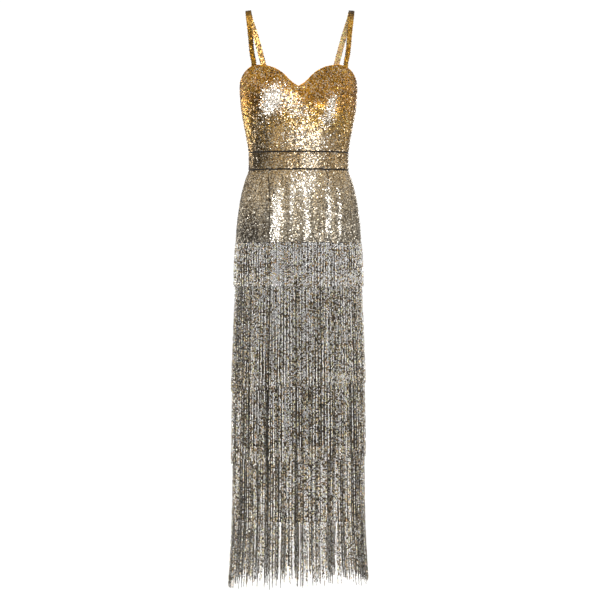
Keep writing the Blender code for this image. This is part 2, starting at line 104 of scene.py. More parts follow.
def unit(vectors: Array) -> Array:
    """Vectors divided by their own length."""
    return vectors / np.maximum(np.linalg.norm(vectors, axis=-1, keepdims=True), 1e-12)


def steps(points: Array, axis: int = 0) -> Array:
    """Distances between the points that follow one another along an axis."""
    return np.linalg.norm(np.diff(points, axis=axis), axis=-1)


def running(points: Array) -> Array:
    """Running length along a line of points, from zero."""
    return np.concatenate([[0.0], np.cumsum(steps(points))])


def degrees_past(around: Array, line: Array | float) -> Array:
    """How many degrees each angle is past a line, from -180 to 180."""
    return (around - line + 180) % 360 - 180


def mixed(first: Array, second: Array, share: Array) -> Array:
    """Rows of the first mixed with the second, each by its own share."""
    return first * (1 - share[:, None]) + second * share[:, None]


def looking(facing: Array | float, lift: Array | float) -> Array:
    """Unit vectors that look out from the gown.

    Args:
        facing: degrees from the front, towards the wearer's left.
        lift: degrees above the level.

    Returns:
        The facing's sine and less its cosine, each times the lift's cosine, and the lift's sine.
    """
    turn, rise = np.radians(facing), np.radians(lift)
    return np.stack([np.sin(turn) * np.cos(rise), -np.cos(turn) * np.cos(rise), np.sin(rise)], axis=-1)


def table(kind: type[Row], *rows: tuple[float, ...]) -> tuple[Row, ...]:
    """One object of a kind for each row of its values."""
    return tuple(kind(*row) for row in rows)


def linear(code: str) -> tuple[float, float, float, float]:
    """A colour's linear values: each sRGB channel under 0.04045 is divided by 12.92, the rest follow the 2.4 power.

    Args:
        code: the sRGB colour as six hex digits after a hash.

    Returns:
        Red, green, blue and a full alpha.
    """
    channels = [int(code[i : i + 2], 16) / 255 for i in (1, 3, 5)]
    bent = [c / 12.92 if c <= 0.04045 else ((c + 0.055) / 1.055) ** 2.4 for c in channels]
    return (bent[0], bent[1], bent[2], 1.0)


def make_mesh(name: str, points: Array, faces: Array, colours: Array | None = None) -> bpy.types.Mesh:
    """Puts arrays into a mesh.

    Args:
        name: the mesh's name.
        points: one row of x, y, z for each vertex.
        faces: one row of vertex numbers for each face, all rows of one length.
        colours: one row of linear red, green, blue, alpha for each vertex, kept as the attribute Tone.

    Returns:
        The mesh.
    """
    mesh = bpy.data.meshes.new(name)
    count, corners = faces.shape
    mesh.vertices.add(len(points))
    mesh.vertices.foreach_set("co", np.ascontiguousarray(points, np.float32).ravel())
    mesh.loops.add(count * corners)
    mesh.loops.foreach_set("vertex_index", np.ascontiguousarray(faces, np.int32).ravel())
    mesh.polygons.add(count)
    mesh.polygons.foreach_set("loop_start", np.arange(0, count * corners, corners, dtype=np.int32))
    if colours is not None:
        tone = mesh.color_attributes.new(name="Tone", type="FLOAT_COLOR", domain="POINT")
        tone.data.foreach_set("color", np.ascontiguousarray(colours, np.float32).ravel())
    mesh.update(calc_edges=True)
    mesh.validate()
    return mesh


def grid_faces(columns: int, rows: int) -> Array:
    """The quads of a grid whose vertices run row by row: each joins a vertex to its right, upper right and upper one.

    Args:
        columns: how many quads across.
        rows: how many quads up.

    Returns:
        One row of four vertex numbers for each quad.
    """
    start = (np.arange(rows)[:, None] * (columns + 1) + np.arange(columns)[None, :]).ravel()
    return np.stack([start, start + 1, start + columns + 2, start + columns + 1], axis=1)


def ring_faces(count: int, pairs: Sequence[tuple[int, int]]) -> Array:
    """The quads between closed rings whose vertices run ring by ring: each joins two neighbours on both rings.

    Args:
        count: how many vertices a ring has.
        pairs: the numbers of the two rings that each band of quads joins.

    Returns:
        One row of four vertex numbers for each quad.
    """
    here, after = np.arange(count), (np.arange(count) + 1) % count
    bands = [np.stack([a * count + here, a * count + after, b * count + after, b * count + here], 1) for a, b in pairs]
    return np.concatenate(bands)


def grid_area(points: Array) -> float:
    """Area of a grid of points: half the cross product of each quad's diagonals, summed."""
    first = points[1:, 1:] - points[:-1, :-1]
    second = points[1:, :-1] - points[:-1, 1:]
    return float(np.linalg.norm(np.cross(first, second), axis=-1).sum() / 2)


# ---- the form that the cloth is cut to


@dataclass(frozen=True)
class Section:
    """A level section of the form: half its width, and its depth in front of and behind the side seams."""

    height: float
    half_width: float
    front: float
    back: float


@dataclass(frozen=True)
class Fold:
    """A soft trough, with negative depth, or a ridge, running from one angle at its top to another at its foot."""

    top_around: float
    foot_around: float
    depth: float
    half_width: float
    top: float
    bottom: float
    fade: float = 70 * MM


SECTIONS = table(
    Section,
    (-0.12, 0.147, 0.079, 0.09),
    (-0.15, 0.1495, 0.088, 0.093),
    (-0.205, 0.1523, 0.102, 0.096),
    (-0.257, 0.1483, 0.098, 0.094),
    (-0.309, 0.139, 0.087, 0.087),
    (-0.34, 0.1332, 0.083, 0.0825),
    (-0.3686, 0.1293, 0.0815, 0.08),
    (-0.4, 0.1284, 0.0815, 0.0795),
    (-0.414, 0.129, 0.082, 0.0805),
    (-0.44, 0.138, 0.087, 0.087),
    (-0.47, 0.1463, 0.093, 0.096),
    (-0.517, 0.1548, 0.1, 0.108),
    (-0.569, 0.1608, 0.1045, 0.1165),
    (-0.602, 0.1627, 0.1065, 0.1185),
    (-0.718, 0.1634, 0.109, 0.12),
    (-0.86, 0.1673, 0.113, 0.122),
    (-0.975, 0.1698, 0.116, 0.124),
    (-1.1, 0.17, 0.1175, 0.125),
    (-1.19, 0.1686, 0.118, 0.1255),
    (-1.27, 0.1683, 0.119, 0.1265),
    (-1.375, 0.171, 0.1215, 0.1295),
    (-1.5, 0.1785, 0.1275, 0.135),
)


def folds(*rows: tuple[float, ...]) -> tuple[Fold, ...]:
    """Folds from rows of two angles, depth and half width in mm, two heights, and its own fade in mm if it has one."""
    return tuple(
        Fold(above, below, depth * MM, wide * MM, top, foot, *(length * MM for length in fade))
        for above, below, depth, wide, top, foot, *fade in rows
    )


# The folds that the solids have too
LARGE_FOLDS = folds(
    (-26.0, -26.0, -3.4, 11, -0.425, -1.05),
    (-18.5, -18.5, 2.4, 11, -0.45, -0.68),
    (-11.5, -11.5, -2.2, 11, -0.44, -0.8),
    (5.5, 5.5, 2.2, 12, -0.43, -0.68),
    (0.0, 0.0, -1.6, 11, -0.6, -1.3),
    (14.0, 14.0, -2.0, 11, -0.43, -0.82),
    (21.0, 21.0, 2.2, 11, -0.44, -0.68),
    (29.0, 29.0, -2.8, 11, -0.435, -1.35),
    (-48.0, -48.0, -2.6, 18, -0.5, -1.4),
    (52.0, 52.0, -2.4, 18, -0.52, -1.4),
    (-74.0, -74.0, -1.8, 16, -0.65, -1.5),
    (77.0, 77.0, -1.8, 16, -0.65, -1.5),
    (-152.0, -152.0, -2.8, 13, -0.5, -1.2),
    (154.0, 154.0, -2.8, 13, -0.5, -1.3),
    (-165.0, -165.0, 2.2, 13, -0.54, -0.68),
    (167.0, 167.0, 2.4, 13, -0.54, -0.68),
    (-122.0, -122.0, -2.6, 18, -0.58, -1.4),
    (124.0, 124.0, -2.4, 18, -0.62, -1.4),
)

# Finer creases: drag lines from the sides to the waist, and puckers above and below the waistband
FINE_CREASES = folds(
    (-72.0, -55.0, -1.1, 7, -0.29, -0.369, 25),
    (-62.0, -47.0, 0.7, 6, -0.3, -0.369, 25),
    (74.0, 56.0, -1.0, 7, -0.295, -0.369, 25),
    (60.0, 50.0, 0.6, 6, -0.305, -0.369, 25),
    (-34.0, -34.0, -1.3, 6, -0.23, -0.369, 45),
    (33.0, 33.0, -0.9, 6, -0.24, -0.369, 45),
    (-20.0, -18.0, 0.6, 6, -0.315, -0.369, 22),
    (-6.0, -5.0, -0.5, 7, -0.32, -0.369, 22),
    (12.0, 11.0, 0.5, 6, -0.315, -0.369, 22),
    (-31.0, -30.0, 0.8, 5, -0.415, -0.53, 14),
    (-6.0, -4.0, 0.7, 6, -0.415, -0.5, 14),
    (27.0, 26.0, 0.8, 5, -0.415, -0.51, 14),
    (40.0, 38.0, -0.7, 6, -0.415, -0.49, 14),
    (-43.0, -40.0, -0.7, 6, -0.415, -0.495, 14),
    (62.0, 58.0, 0.6, 7, -0.415, -0.495, 14),
    (-108.0, -126.0, -1.0, 8, -0.29, -0.369, 25),
    (110.0, 127.0, -1.1, 8, -0.285, -0.369, 25),
    (-168.0, -166.0, -0.8, 7, -0.3, -0.369, 25),
    (166.0, 164.0, -0.9, 7, -0.295, -0.369, 25),
    (-140.0, -142.0, -0.8, 6, -0.415, -0.5, 14),
    (143.0, 146.0, -0.8, 6, -0.415, -0.505, 14),
    (172.0, 170.0, 0.7, 6, -0.415, -0.49, 14),
    (-171.0, -170.0, 0.6, 6, -0.415, -0.495, 14),
)


@dataclass(frozen=True)
class WornForm:
    """The hollow form of the gown when it is worn, as a surface over an angle and a height.

    Each level section is a rounded oblong, |x/a| and |y/b| to the power of squareness adding to one. Two bells at the
    height of the bust push the front forwards, and each fold is a bell across its own line that fades at both ends.
    """

    sections: tuple[Section, ...] = SECTIONS
    folds: tuple[Fold, ...] = LARGE_FOLDS + FINE_CREASES
    squareness: float = 2.2
    cup_depth: float = 14 * MM
    cup_apart: float = 78 * MM
    cup_half_width: float = 52 * MM
    cup_height: float = -0.2300
    cup_rise: float = 62 * MM
    cup_fall: float = 46 * MM
    cup_turn: float = 2.0

    def size(self, name: str, height: Array) -> Array:
        """One of the sections' sizes at a height, by the smooth curve through the table."""
        return curve_through([s.height for s in self.sections], [getattr(s, name) for s in self.sections], height)

    def smooth_point(self, around: Array, height: Array) -> Array:
        """Points of the form without its folds.

        Args:
            around: angles from the centre front.
            height: heights.

        Returns:
            x is the half width times the sine to the power 2 / squareness, and y is less the depth times the cosine
            to the same power, moved forwards by the cups.
        """
        angle = np.radians(around)
        sine, cosine = np.sin(angle), np.cos(angle)
        power = 2 / self.squareness
        x = self.size("half_width", height) * np.sign(sine) * np.abs(sine) ** power
        depth = np.where(cosine > 0, self.size("front", height), self.size("back", height))
        y = -depth * np.sign(cosine) * np.abs(cosine) ** power
        rise = np.where(height > self.cup_height, self.cup_rise, self.cup_fall)
        fullness = np.exp(-(((height - self.cup_height) / rise) ** 2))
        fullness = fullness * np.exp(-(((np.abs(x) - self.cup_apart) / self.cup_half_width) ** 2))
        y = y - self.cup_depth * fullness * smooth_step(cosine * self.cup_turn)
        return np.stack([x, y, height + 0 * x], axis=-1)

    def directions(self, around: Array, height: Array) -> tuple[Array, Array]:
        """The way out of the smooth form, and how far a point moves for each degree.

        Args:
            around: angles from the centre front.
            height: heights.

        Returns:
            The cross product of the two small steps, sideways and up, at unit length, and the sideways step's
            length for one degree.
        """
        turn, climb = 0.05, 0.2 * MM
        sideways = self.smooth_point(around + turn, height) - self.smooth_point(around - turn, height)
        upwards = self.smooth_point(around, height + climb) - self.smooth_point(around, height - climb)
        return unit(np.cross(sideways, upwards)), np.linalg.norm(sideways, axis=-1) / (2 * turn)

    def fold_reach(self, around: Array, height: Array, per_degree: Array) -> Array:
        """How far the folds push the cloth out.

        Args:
            around: angles from the centre front.
            height: heights.
            per_degree: the length of one degree at each place.

        Returns:
            The sum over the folds of depth times a bell of the distance from the fold's line, faded at both ends.
        """
        total = np.zeros(np.broadcast(around, height).shape)
        for fold in self.folds:
            down = np.clip((fold.top - height) / (fold.top - fold.bottom), 0, 1)
            line = fold.top_around + (fold.foot_around - fold.top_around) * down
            across = np.exp(-((degrees_past(around, line) * per_degree / fold.half_width) ** 2))
            ends = smooth_step((fold.top - height) / fold.fade) * smooth_step((height - fold.bottom) / fold.fade)
            total = total + fold.depth * across * ends
        return total

    def point(self, around: Array, height: Array, out: Array | float = 0.0) -> Array:
        """Points of the cloth's outer face, moved out by a distance along the smooth form's normal."""
        around, height = np.broadcast_arrays(np.asarray(around, float), np.asarray(height, float))
        outwards, per_degree = self.directions(around, height)
        reach = self.fold_reach(around, height, per_degree) + out
        return self.smooth_point(around, height) + outwards * reach[..., None]

    def dressing(self, around: Array, height: Array, out: float) -> tuple[Array, Array, Array]:
        """Where small things are sewn on the folded cloth, and how they lie there.

        Args:
            around: angles from the centre front.
            height: heights.
            out: how far out of the cloth they sit.

        Returns:
            The points, the cloth's own normals with the folds in them, and the level direction along the cloth.
        """
        turn, climb = 0.15, 0.6 * MM
        sideways = self.point(around + turn, height) - self.point(around - turn, height)
        upwards = self.point(around, height + climb) - self.point(around, height - climb)
        normal = unit(np.cross(sideways, upwards))
        return self.point(around, height) + normal * out, normal, unit(sideways)


FORM = WornForm()


# ---- the seams


@dataclass(frozen=True)
class SeamLine:
    """A seam or an edge as a table of places along it and its value there."""

    stations: tuple[float, ...]
    values: tuple[float, ...]
    sign: float = 1.0
    even: bool = False

    def __call__(self, along: Array) -> Array:
        """The line's value at each place, by the smooth curve through its table."""
        along = np.abs(along) if self.even else along
        return self.sign * curve_through(self.stations, self.values, along)


@dataclass(frozen=True)
class LevelLine:
    """A line that keeps one value."""

    value: float

    def __call__(self, along: Array) -> Array:
        """The same value at every place."""
        return self.value + 0 * np.asarray(along, float)


BAND_TOP = -0.3686
BAND_BOTTOM = -0.4140
HIP_SEAM = -0.6020
BASE_TOP = HIP_SEAM + 8 * MM
BASE_HEM = -1.3200
SEAM_GAP = 0.4 * MM
# Each cut piece goes this far past its side seams, as sewn cloth does, so that no light comes through them
SEAM_LAP = 0.15 * MM
SOLID_WALL = 1.5 * MM
BASE_INSET = SOLID_WALL + 0.9 * MM
BAND_PROUD = 0.4 * MM

SEAM_HEIGHTS = (-0.1200, -0.2250, -0.3000, -0.3686, -0.4140, -0.4700, -0.6020)
FRONT_SEAM_AROUND = (36.0, 38.5, 37.5, 35.5, 34.0, 28.5, 25.5)
BACK_SEAM_AROUND = (138.0, 140.0, 143.0, 146.0, 147.0, 150.0, 152.0)
EDGE_AROUND = (0.0, 5.5, 12.6, 20.4, 31.2, 41.0, 53.0, 65.0, 78.0, 90.0, 110.0, 135.0, 180.0)
EDGE_HEIGHT = (
    -0.2030, -0.1910, -0.1710, -0.1570, -0.1483, -0.1460, -0.1495, -0.1610, -0.1790, -0.1980, -0.2180, -0.2300, -0.2350,
)  # fmt: skip

FRONT_LEFT = SeamLine(SEAM_HEIGHTS, FRONT_SEAM_AROUND)
FRONT_RIGHT = SeamLine(SEAM_HEIGHTS, FRONT_SEAM_AROUND, -1.0)
BACK_LEFT = SeamLine(SEAM_HEIGHTS, BACK_SEAM_AROUND)
BACK_RIGHT = SeamLine(SEAM_HEIGHTS, BACK_SEAM_AROUND, -1.0)
SIDE_LEFT, SIDE_RIGHT = LevelLine(90.0), LevelLine(-90.0)
CENTRE_LEFT, CENTRE_RIGHT = LevelLine(180.0), LevelLine(-180.0)
TOP_EDGE = SeamLine(EDGE_AROUND, EDGE_HEIGHT, even=True)


# ---- colours and finishes


@dataclass(frozen=True)
class ShadeRun:
    """Colours that shade down the gown, with some pieces deeper and some paler than the main one.

    The stops are the main colour at some heights. The shares are how many are deep and how many pale. Deep ones are
    the main colour times the gain, pale ones are it to the pale power, and the spread is how unevenly bright all are.
    """

    stops: dict[float, str]
    deep_share: float
    deep_gain: tuple[float, float, float]
    pale_share: float
    pale_power: float
    spread: float

    def tones(self, height: Array) -> Array:
        """Draws a colour for each sequin or bead.

        Args:
            height: their heights.

        Returns:
            Linear colours with alpha: the main colour at that height, changed for the deep and the pale ones by an
            even random number, times a bell-shaped random brightness.
        """
        heights = sorted(self.stops)
        colours = np.array([linear(self.stops[stop])[:3] for stop in heights])
        main = np.stack([np.interp(height, heights, channel) for channel in colours.T], axis=-1)
        draw = chance.random(len(height))[:, None]
        deep, pale = main * np.array(self.deep_gain), main**self.pale_power
        picked = np.where(draw < self.deep_share, deep, np.where(draw > 1 - self.pale_share, pale, main))
        picked = picked * np.exp(chance.normal(0.0, self.spread, (len(height), 1)))
        return np.concatenate([np.clip(picked, 0.0, 1.0), np.ones((len(height), 1))], axis=1)


SEQUIN_RUN = ShadeRun(
    stops={
        0.0: "#c08e38", -0.150: "#a4731f", -0.235: "#bb832c", -0.290: "#ba9041",
        -0.370: "#ad8c57", -0.450: "#a7926f", -0.530: "#a09279", -0.602: "#978d7b",
    },
    deep_share=0.16, deep_gain=(0.42, 0.36, 0.30), pale_share=0.18, pale_power=0.64, spread=0.24,
)  # fmt: skip
BEAD_RUN = ShadeRun(
    stops={-0.602: "#decdb2", -0.800: "#d9c8ab", -1.100: "#d1bfa2", -1.480: "#d1c0a4"},
    deep_share=0.26, deep_gain=(0.135, 0.120, 0.098), pale_share=0.34, pale_power=0.12, spread=0.40,
)  # fmt: skip
# The near white that the sequins are mixed towards: a painted highlight where they mirror a light
PAINTED_GLARE = np.array(linear("#f6f1e6")[:3])
# How unevenly red, green and blue the beads are
BEAD_TINT = (0.03, 0.02, 0.05)


def add_node(tree: bpy.types.NodeTree, kind: str, settings: dict | None = None, **inputs) -> bpy.types.Node:
    """Adds a node with its settings, values and links.

    Args:
        tree: the material's or the world's node tree.
        kind: the node's type name.
        settings: its own properties.
        inputs: for each socket, by its name with _ for a space, or by n and its number, a value or an output to link.

    Returns:
        The node.
    """
    node = tree.nodes.new(kind)
    for name, value in (settings or {}).items():
        setattr(node, name, value)
    for name, value in inputs.items():
        numbered = name[0] == "n" and name[1:].isdigit()
        socket = node.inputs[int(name[1:]) if numbered else name.replace("_", " ")]
        if isinstance(value, bpy.types.NodeSocket):
            tree.links.new(value, socket)
        else:
            socket.default_value = value
    return node


def start_material(name: str, **values) -> tuple[bpy.types.Material, bpy.types.NodeTree, bpy.types.Node]:
    """Starts a material.

    Args:
        name: the material's name.
        values: what its shader's sockets are set to, by name with _ for a space.

    Returns:
        The material, its node tree and its shader.
    """
    made = bpy.data.materials.new(name)
    made.use_nodes = True
    shader = made.node_tree.nodes["Principled BSDF"]
    for socket, value in values.items():
        shader.inputs[socket.replace("_", " ")].default_value = value
    return made, made.node_tree, shader


def uneven_gloss(
    tree: bpy.types.NodeTree, shader: bpy.types.Node, low: float, high: float, scale: float, detail: float
) -> None:
    """Lets a noise over the object move a shader's roughness.

    Args:
        tree: the material's node tree.
        shader: its shader.
        low: the roughness where the noise is 0.
        high: the roughness where the noise is 1.
        scale: the noise's cells for each metre.
        detail: how many finer noises are laid over it.
    """
    place = add_node(tree, "ShaderNodeTexCoord")
    noise = add_node(tree, "ShaderNodeTexNoise", Vector=place.outputs["Object"], Scale=scale, Detail=detail)
    spread = add_node(tree, "ShaderNodeMapRange", Value=noise.outputs["Fac"], To_Min=low, To_Max=high)
    tree.links.new(spread.outputs["Result"], shader.inputs["Roughness"])


@dataclass(frozen=True)
class GlitterFinish:
    """Metallised film sequins or silver-lined glass beads: each one a small mirror in the colour of its own Tone."""

    name: str
    roughness: float
    metallic: float
    coat: float

    def build(self) -> bpy.types.Material:
        """Makes the material: Tone gives the colour, and scuffs about 4 mm across make neighbours differ in gloss.

        Returns:
            The material.
        """
        made, tree, shader = start_material(
            self.name, Metallic=self.metallic, Coat_Weight=self.coat, Coat_Roughness=0.12
        )
        tone = add_node(tree, "ShaderNodeAttribute", {"attribute_name": "Tone"})
        tree.links.new(tone.outputs["Color"], shader.inputs["Base Color"])
        uneven_gloss(tree, shader, self.roughness * 0.6, self.roughness * 1.5, 240.0, 2.0)
        return made


@dataclass(frozen=True)
class ClothFinish:
    """Woven ground cloth: matt threads with a faint sheen, seen between the sequins and on the gown's inside."""

    name: str
    top_code: str
    foot_code: str
    thread: float
    sheen: float

    def build(self) -> bpy.types.Material:
        """Makes the material: two crossed waves are the threads, and the colour shifts down the gown.

        Returns:
            The material.
        """
        made, tree, shader = start_material(self.name, Roughness=0.85, Sheen_Weight=self.sheen, Sheen_Roughness=0.5)
        place = add_node(tree, "ShaderNodeTexCoord").outputs["Object"]
        # Blender's wave has 20 / (2 pi) bands for each unit of scale, so this scale gives one band a thread
        scale = 2 * math.pi / 20 / self.thread
        bands = [
            add_node(
                tree, "ShaderNodeTexWave", {"wave_type": "BANDS", "bands_direction": way},
                Vector=place, Scale=scale, Distortion=0.6, Detail=1.0,
            ).outputs["Fac"]
            for way in ("Z", "DIAGONAL")
        ]  # fmt: skip
        weave = add_node(tree, "ShaderNodeMath", {"operation": "MULTIPLY"}, n0=bands[0], n1=bands[1]).outputs["Value"]
        split = add_node(tree, "ShaderNodeSeparateXYZ", Vector=place)
        down = add_node(tree, "ShaderNodeMapRange", Value=split.outputs["Z"], From_Min=-0.20, From_Max=HIP_SEAM)
        ground = add_node(
            tree, "ShaderNodeMix", {"data_type": "RGBA"},
            n0=down.outputs["Result"], n6=linear(self.top_code), n7=linear(self.foot_code),
        )  # fmt: skip
        light = add_node(tree, "ShaderNodeMapRange", Value=weave, To_Min=0.75, To_Max=1.25)
        shaded = add_node(tree, "ShaderNodeHueSaturation", Color=ground.outputs[2], Value=light.outputs["Result"])
        bump = add_node(tree, "ShaderNodeBump", Strength=0.5, Distance=self.thread * 0.3, Height=weave)
        tree.links.new(shaded.outputs["Color"], shader.inputs["Base Color"])
        tree.links.new(bump.outputs["Normal"], shader.inputs["Normal"])
        return made


@dataclass(frozen=True)
class MetalFinish:
    """Cast and plated zinc, as zip sliders are: smooth, with fine wear."""

    name: str
    code: str
    roughness: float

    def build(self) -> bpy.types.Material:
        """Makes the material, with its roughness uneven over about 2 mm.

        Returns:
            The material.
        """
        made, tree, shader = start_material(self.name, Base_Color=linear(self.code), Metallic=1.0)
        uneven_gloss(tree, shader, self.roughness * 0.6, self.roughness * 1.6, 500.0, 3.0)
        return made


class Finish(Enum):
    """The gown's finishes, by what they are made of."""

    SEQUINS = GlitterFinish("metallised_film_sequins", 0.22, 1.0, 0.06)
    BEADS = GlitterFinish("silver_lined_glass_beads", 0.20, 0.9, 0.5)
    GROUND = ClothFinish("sequin_ground_cloth", "#241708", "#1c1914", 0.9 * MM, 0.05)
    BASE = ClothFinish("crepe_base_cloth", "#1e1a15", "#1e1a15", 1.1 * MM, 0.05)
    ZIP = MetalFinish("plated_zinc_zip", "#b98f45", 0.22)


FINISHES: dict[Finish, bpy.types.Material] = {}


def finish_of(kind: Finish) -> bpy.types.Material:
    """The material of a finish, made the first time that it is asked for."""
    if kind not in FINISHES:
        FINISHES[kind] = kind.value.build()
    return FINISHES[kind]


def place_piece(mesh: bpy.types.Mesh, kind: Finish, slot: str, *nodes: str) -> bpy.types.Object:
    """Makes a mesh a piece of the gown, of the same name.

    Args:
        mesh: its mesh, already in place.
        kind: its finish.
        slot: the record's material slot; not used.
        nodes: the solids that it stands for.

    Returns:
        The new object, riding on the gown.
    """
    piece = bpy.data.objects.new(mesh.name, mesh)
    mesh.materials.append(finish_of(kind))
    bpy.context.scene.collection.objects.link(piece)
    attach(piece, BODY)
    if nodes:
        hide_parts(*nodes)
    log.info("%s: %d faces", piece.name, len(mesh.polygons))
    return piece


# ---- sequins


@dataclass(frozen=True)
class SequinRun:
    """How sequins are sewn: their radius, their pitch along and between rows, and how unevenly they lie.

    Each one leans up by the shingle, because its foot lies on the row below, and a few stand up further.
    """

    radius: float = 1.55 * MM
    along: float = 2.75 * MM
    between: float = 2.45 * MM
    lift: float = 0.40 * MM
    shingle: float = 0.10
    tilt: float = 0.08
    loose_tilt: float = 0.24
    loose_share: float = 0.22
    jitter: float = 0.30 * MM
    corners: int = 6

    def discs(
        self, points: Array, normals: Array, sideways: Array, height: Array, gain: Array,
        white: Array | float = 0.0, calm: Array | float = 0.0,
    ) -> tuple[Array, Array, Array]:
        """Flat six-sided sequins at given places.

        Args:
            points: their centres.
            normals: the way the cloth faces at each.
            sideways: a direction along the cloth at each.
            height: the height that gives each its colour.
            gain: how bright each is painted beside that colour: painted light and shade.
            white: how far each is mixed with near white: a painted highlight.
            calm: how much less than the others each one leans.

        Returns:
            Vertices, faces and vertex colours. A sequin's corners lie on a circle in the plane square to its normal,
            which is the cloth's normal plus the shingle upwards and two random sideways shares.
        """
        count = len(points)
        other = np.cross(normals, sideways)
        loose = chance.random((1, count, 1)) < self.loose_share
        steady = 1 - np.broadcast_to(calm, count)[:, None]
        lean = chance.normal(0.0, 1.0, (2, count, 1)) * np.where(loose, self.loose_tilt, self.tilt) * steady
        shift = chance.normal(0.0, self.jitter, (2, count, 1))
        centre = points + sideways * shift[0] + other * shift[1]
        normal = unit(normals + sideways * lean[0] + other * (lean[1] + self.shingle))
        first = unit(np.cross(other, normal))
        second = np.cross(normal, first)
        corner = 2 * math.pi / self.corners
        turn = chance.uniform(0, corner, (count, 1)) + np.arange(self.corners) * corner
        ring = first[:, None] * np.cos(turn)[..., None] + second[:, None] * np.sin(turn)[..., None]
        vertices = (centre[:, None] + ring * self.radius).reshape(-1, 3)
        faces = np.arange(count * self.corners).reshape(count, self.corners)
        colours = SEQUIN_RUN.tones(height)
        # The gain paints light and shade into the colour, and the mix with near white paints a highlight
        lit = mixed(colours[:, :3] * gain[:, None], PAINTED_GLARE, np.broadcast_to(white, count))
        colours[:, :3] = np.clip(lit, 0.0, 1.0)
        return vertices, faces, np.repeat(colours, self.corners, axis=0)


SEQUINS = SequinRun()


@dataclass(frozen=True)
class Patch:
    """A patch of sequins: its angle and height, two half widths, and how far it slants sideways as it rises."""

    around: float
    height: float
    half_across: float
    half_up: float
    slant: float

    def share(self, around: Array, height: Array) -> Array:
        """How far inside the patch each place is.

        Args:
            around: angles of the places.
            height: their heights.

        Returns:
            A flat-topped bell of the slanted distance from the middle, each way measured in its own half width.
        """
        rise = height - self.height
        across = degrees_past(around, self.around) * FORM.directions(around, height)[1] - self.slant * rise
        return np.exp(-(np.abs(across / self.half_across) ** BELL_POWER) - np.abs(rise / self.half_up) ** BELL_POWER)


@dataclass(frozen=True)
class GlarePatch(Patch):
    """Sequins that mirror the strip light on their side, painted near white there as a painted highlight.

    The strength is the chance of that in the middle.
    """

    strength: float

    def towards(self) -> Array:
        """The way that they turn: about half way between the viewer and the strip light."""
        return looking(7.0 if abs(self.around) < 90 else 172.0, 3.0)


@dataclass(frozen=True)
class CalmPatch(Patch):
    """Sequins that have settled nearly parallel, facing one way. The strength is how far the middle ones turn."""

    facing: float
    lift: float
    strength: float

    def towards(self) -> Array:
        """The way that they turn."""
        return looking(self.facing, self.lift)


@dataclass(frozen=True)
class ShadePatch(Patch):
    """Painted shade or light on sequins, by the gain's sign: the middle ones' brightness is times e to the gain."""

    gain: float


BELL_POWER = 2.6
GLARE_PATCHES = table(
    GlarePatch,
    (-24.0, -0.238, 0.026, 0.035, 0.25, 1.2),
    (-4.0, -0.254, 0.024, 0.038, -0.5, 0.34),
    (31.0, -0.266, 0.015, 0.036, 0.2, 0.88),
    (8.0, -0.335, 0.056, 0.036, -0.3, 0.26),
    (12.0, -0.392, 0.03, 0.03, 0.0, 0.06),
    (6.0, -0.455, 0.024, 0.038, 0.1, 0.5),
    (-19.0, -0.548, 0.012, 0.078, 0.03, 0.78),
    (-5.0, -0.49, 0.006, 0.064, 0.02, 0.6),
    (6.5, -0.55, 0.008, 0.054, 0.02, 0.55),
    (27.5, -0.525, 0.008, 0.074, 0.05, 0.6),
    (40.0, -0.535, 0.005, 0.064, 0.08, 0.55),
    (-160.0, -0.545, 0.013, 0.076, 0.0, 0.65),
    (160.0, -0.3, 0.028, 0.046, 0.2, 0.6),
    (178.0, -0.5, 0.01, 0.07, 0.0, 0.5),
)
CALM_PATCHES = table(
    CalmPatch,
    (17.0, -0.224, 0.042, 0.025, 0.0, 6.0, 24.0, 0.95),
    (-21.0, -0.32, 0.022, 0.044, 0.0, -8.0, 24.0, 0.6),
    (29.0, -0.34, 0.016, 0.04, 0.0, 10.0, 24.0, 0.65),
    (-30.0, -0.392, 0.024, 0.026, 0.0, -10.0, 24.0, 0.5),
    (45.0, -0.3, 0.024, 0.07, 0.0, 30.0, 20.0, 0.5),
)
# Painted shade where the gain is below 0 and painted light where it is above, on the sequins' colour
SHADE_PATCHES = table(
    ShadePatch,
    (-41.0, -0.32, 0.026, 0.09, 0.1, -1.25),
    (-43.0, -0.392, 0.038, 0.03, 0.0, -0.52),
    (-22.0, -0.17, 0.046, 0.034, 0.0, -0.24),
    (24.0, -0.18, 0.05, 0.036, 0.0, -0.32),
    (-14.0, -0.32, 0.034, 0.034, 0.2, 0.14),
    (46.0, -0.32, 0.02, 0.07, 0.0, -0.3),
    (-68.0, -0.25, 0.04, 0.11, 0.0, 0.44),
    (70.0, -0.28, 0.04, 0.11, 0.0, 0.26),
    (10.0, -0.345, 0.05, 0.034, 0.0, -0.25),
    (10.0, -0.392, 0.036, 0.03, 0.0, -0.36),
    (-46.0, -0.582, 0.055, 0.05, 0.0, -0.65),
    (-30.0, -0.5, 0.01, 0.09, 0.0, -0.35),
    (48.0, -0.56, 0.04, 0.05, 0.0, -0.25),
    (150.0, -0.33, 0.024, 0.08, 0.0, -0.4),
    (-147.0, -0.34, 0.026, 0.07, 0.0, -0.45),
    (-158.0, -0.56, 0.03, 0.05, 0.0, -0.3),
)
# How far a sequin in the glare turns, and how far it and those between are painted near white: painted highlights
GLARE_TURN, GLARE_PAINT, STRAY_GLARE_PAINT = 0.96, 0.85, 0.24
# How wide a range of chances turns a sequin part of the way
CHANCE_BLUR = 0.08


def shade(around: Array, height: Array) -> Array:
    """The painted shade and light of the sequins of each place: e to the sum of the shade patches' gains."""
    return np.exp(sum(patch.gain * patch.share(around, height) for patch in SHADE_PATCHES))


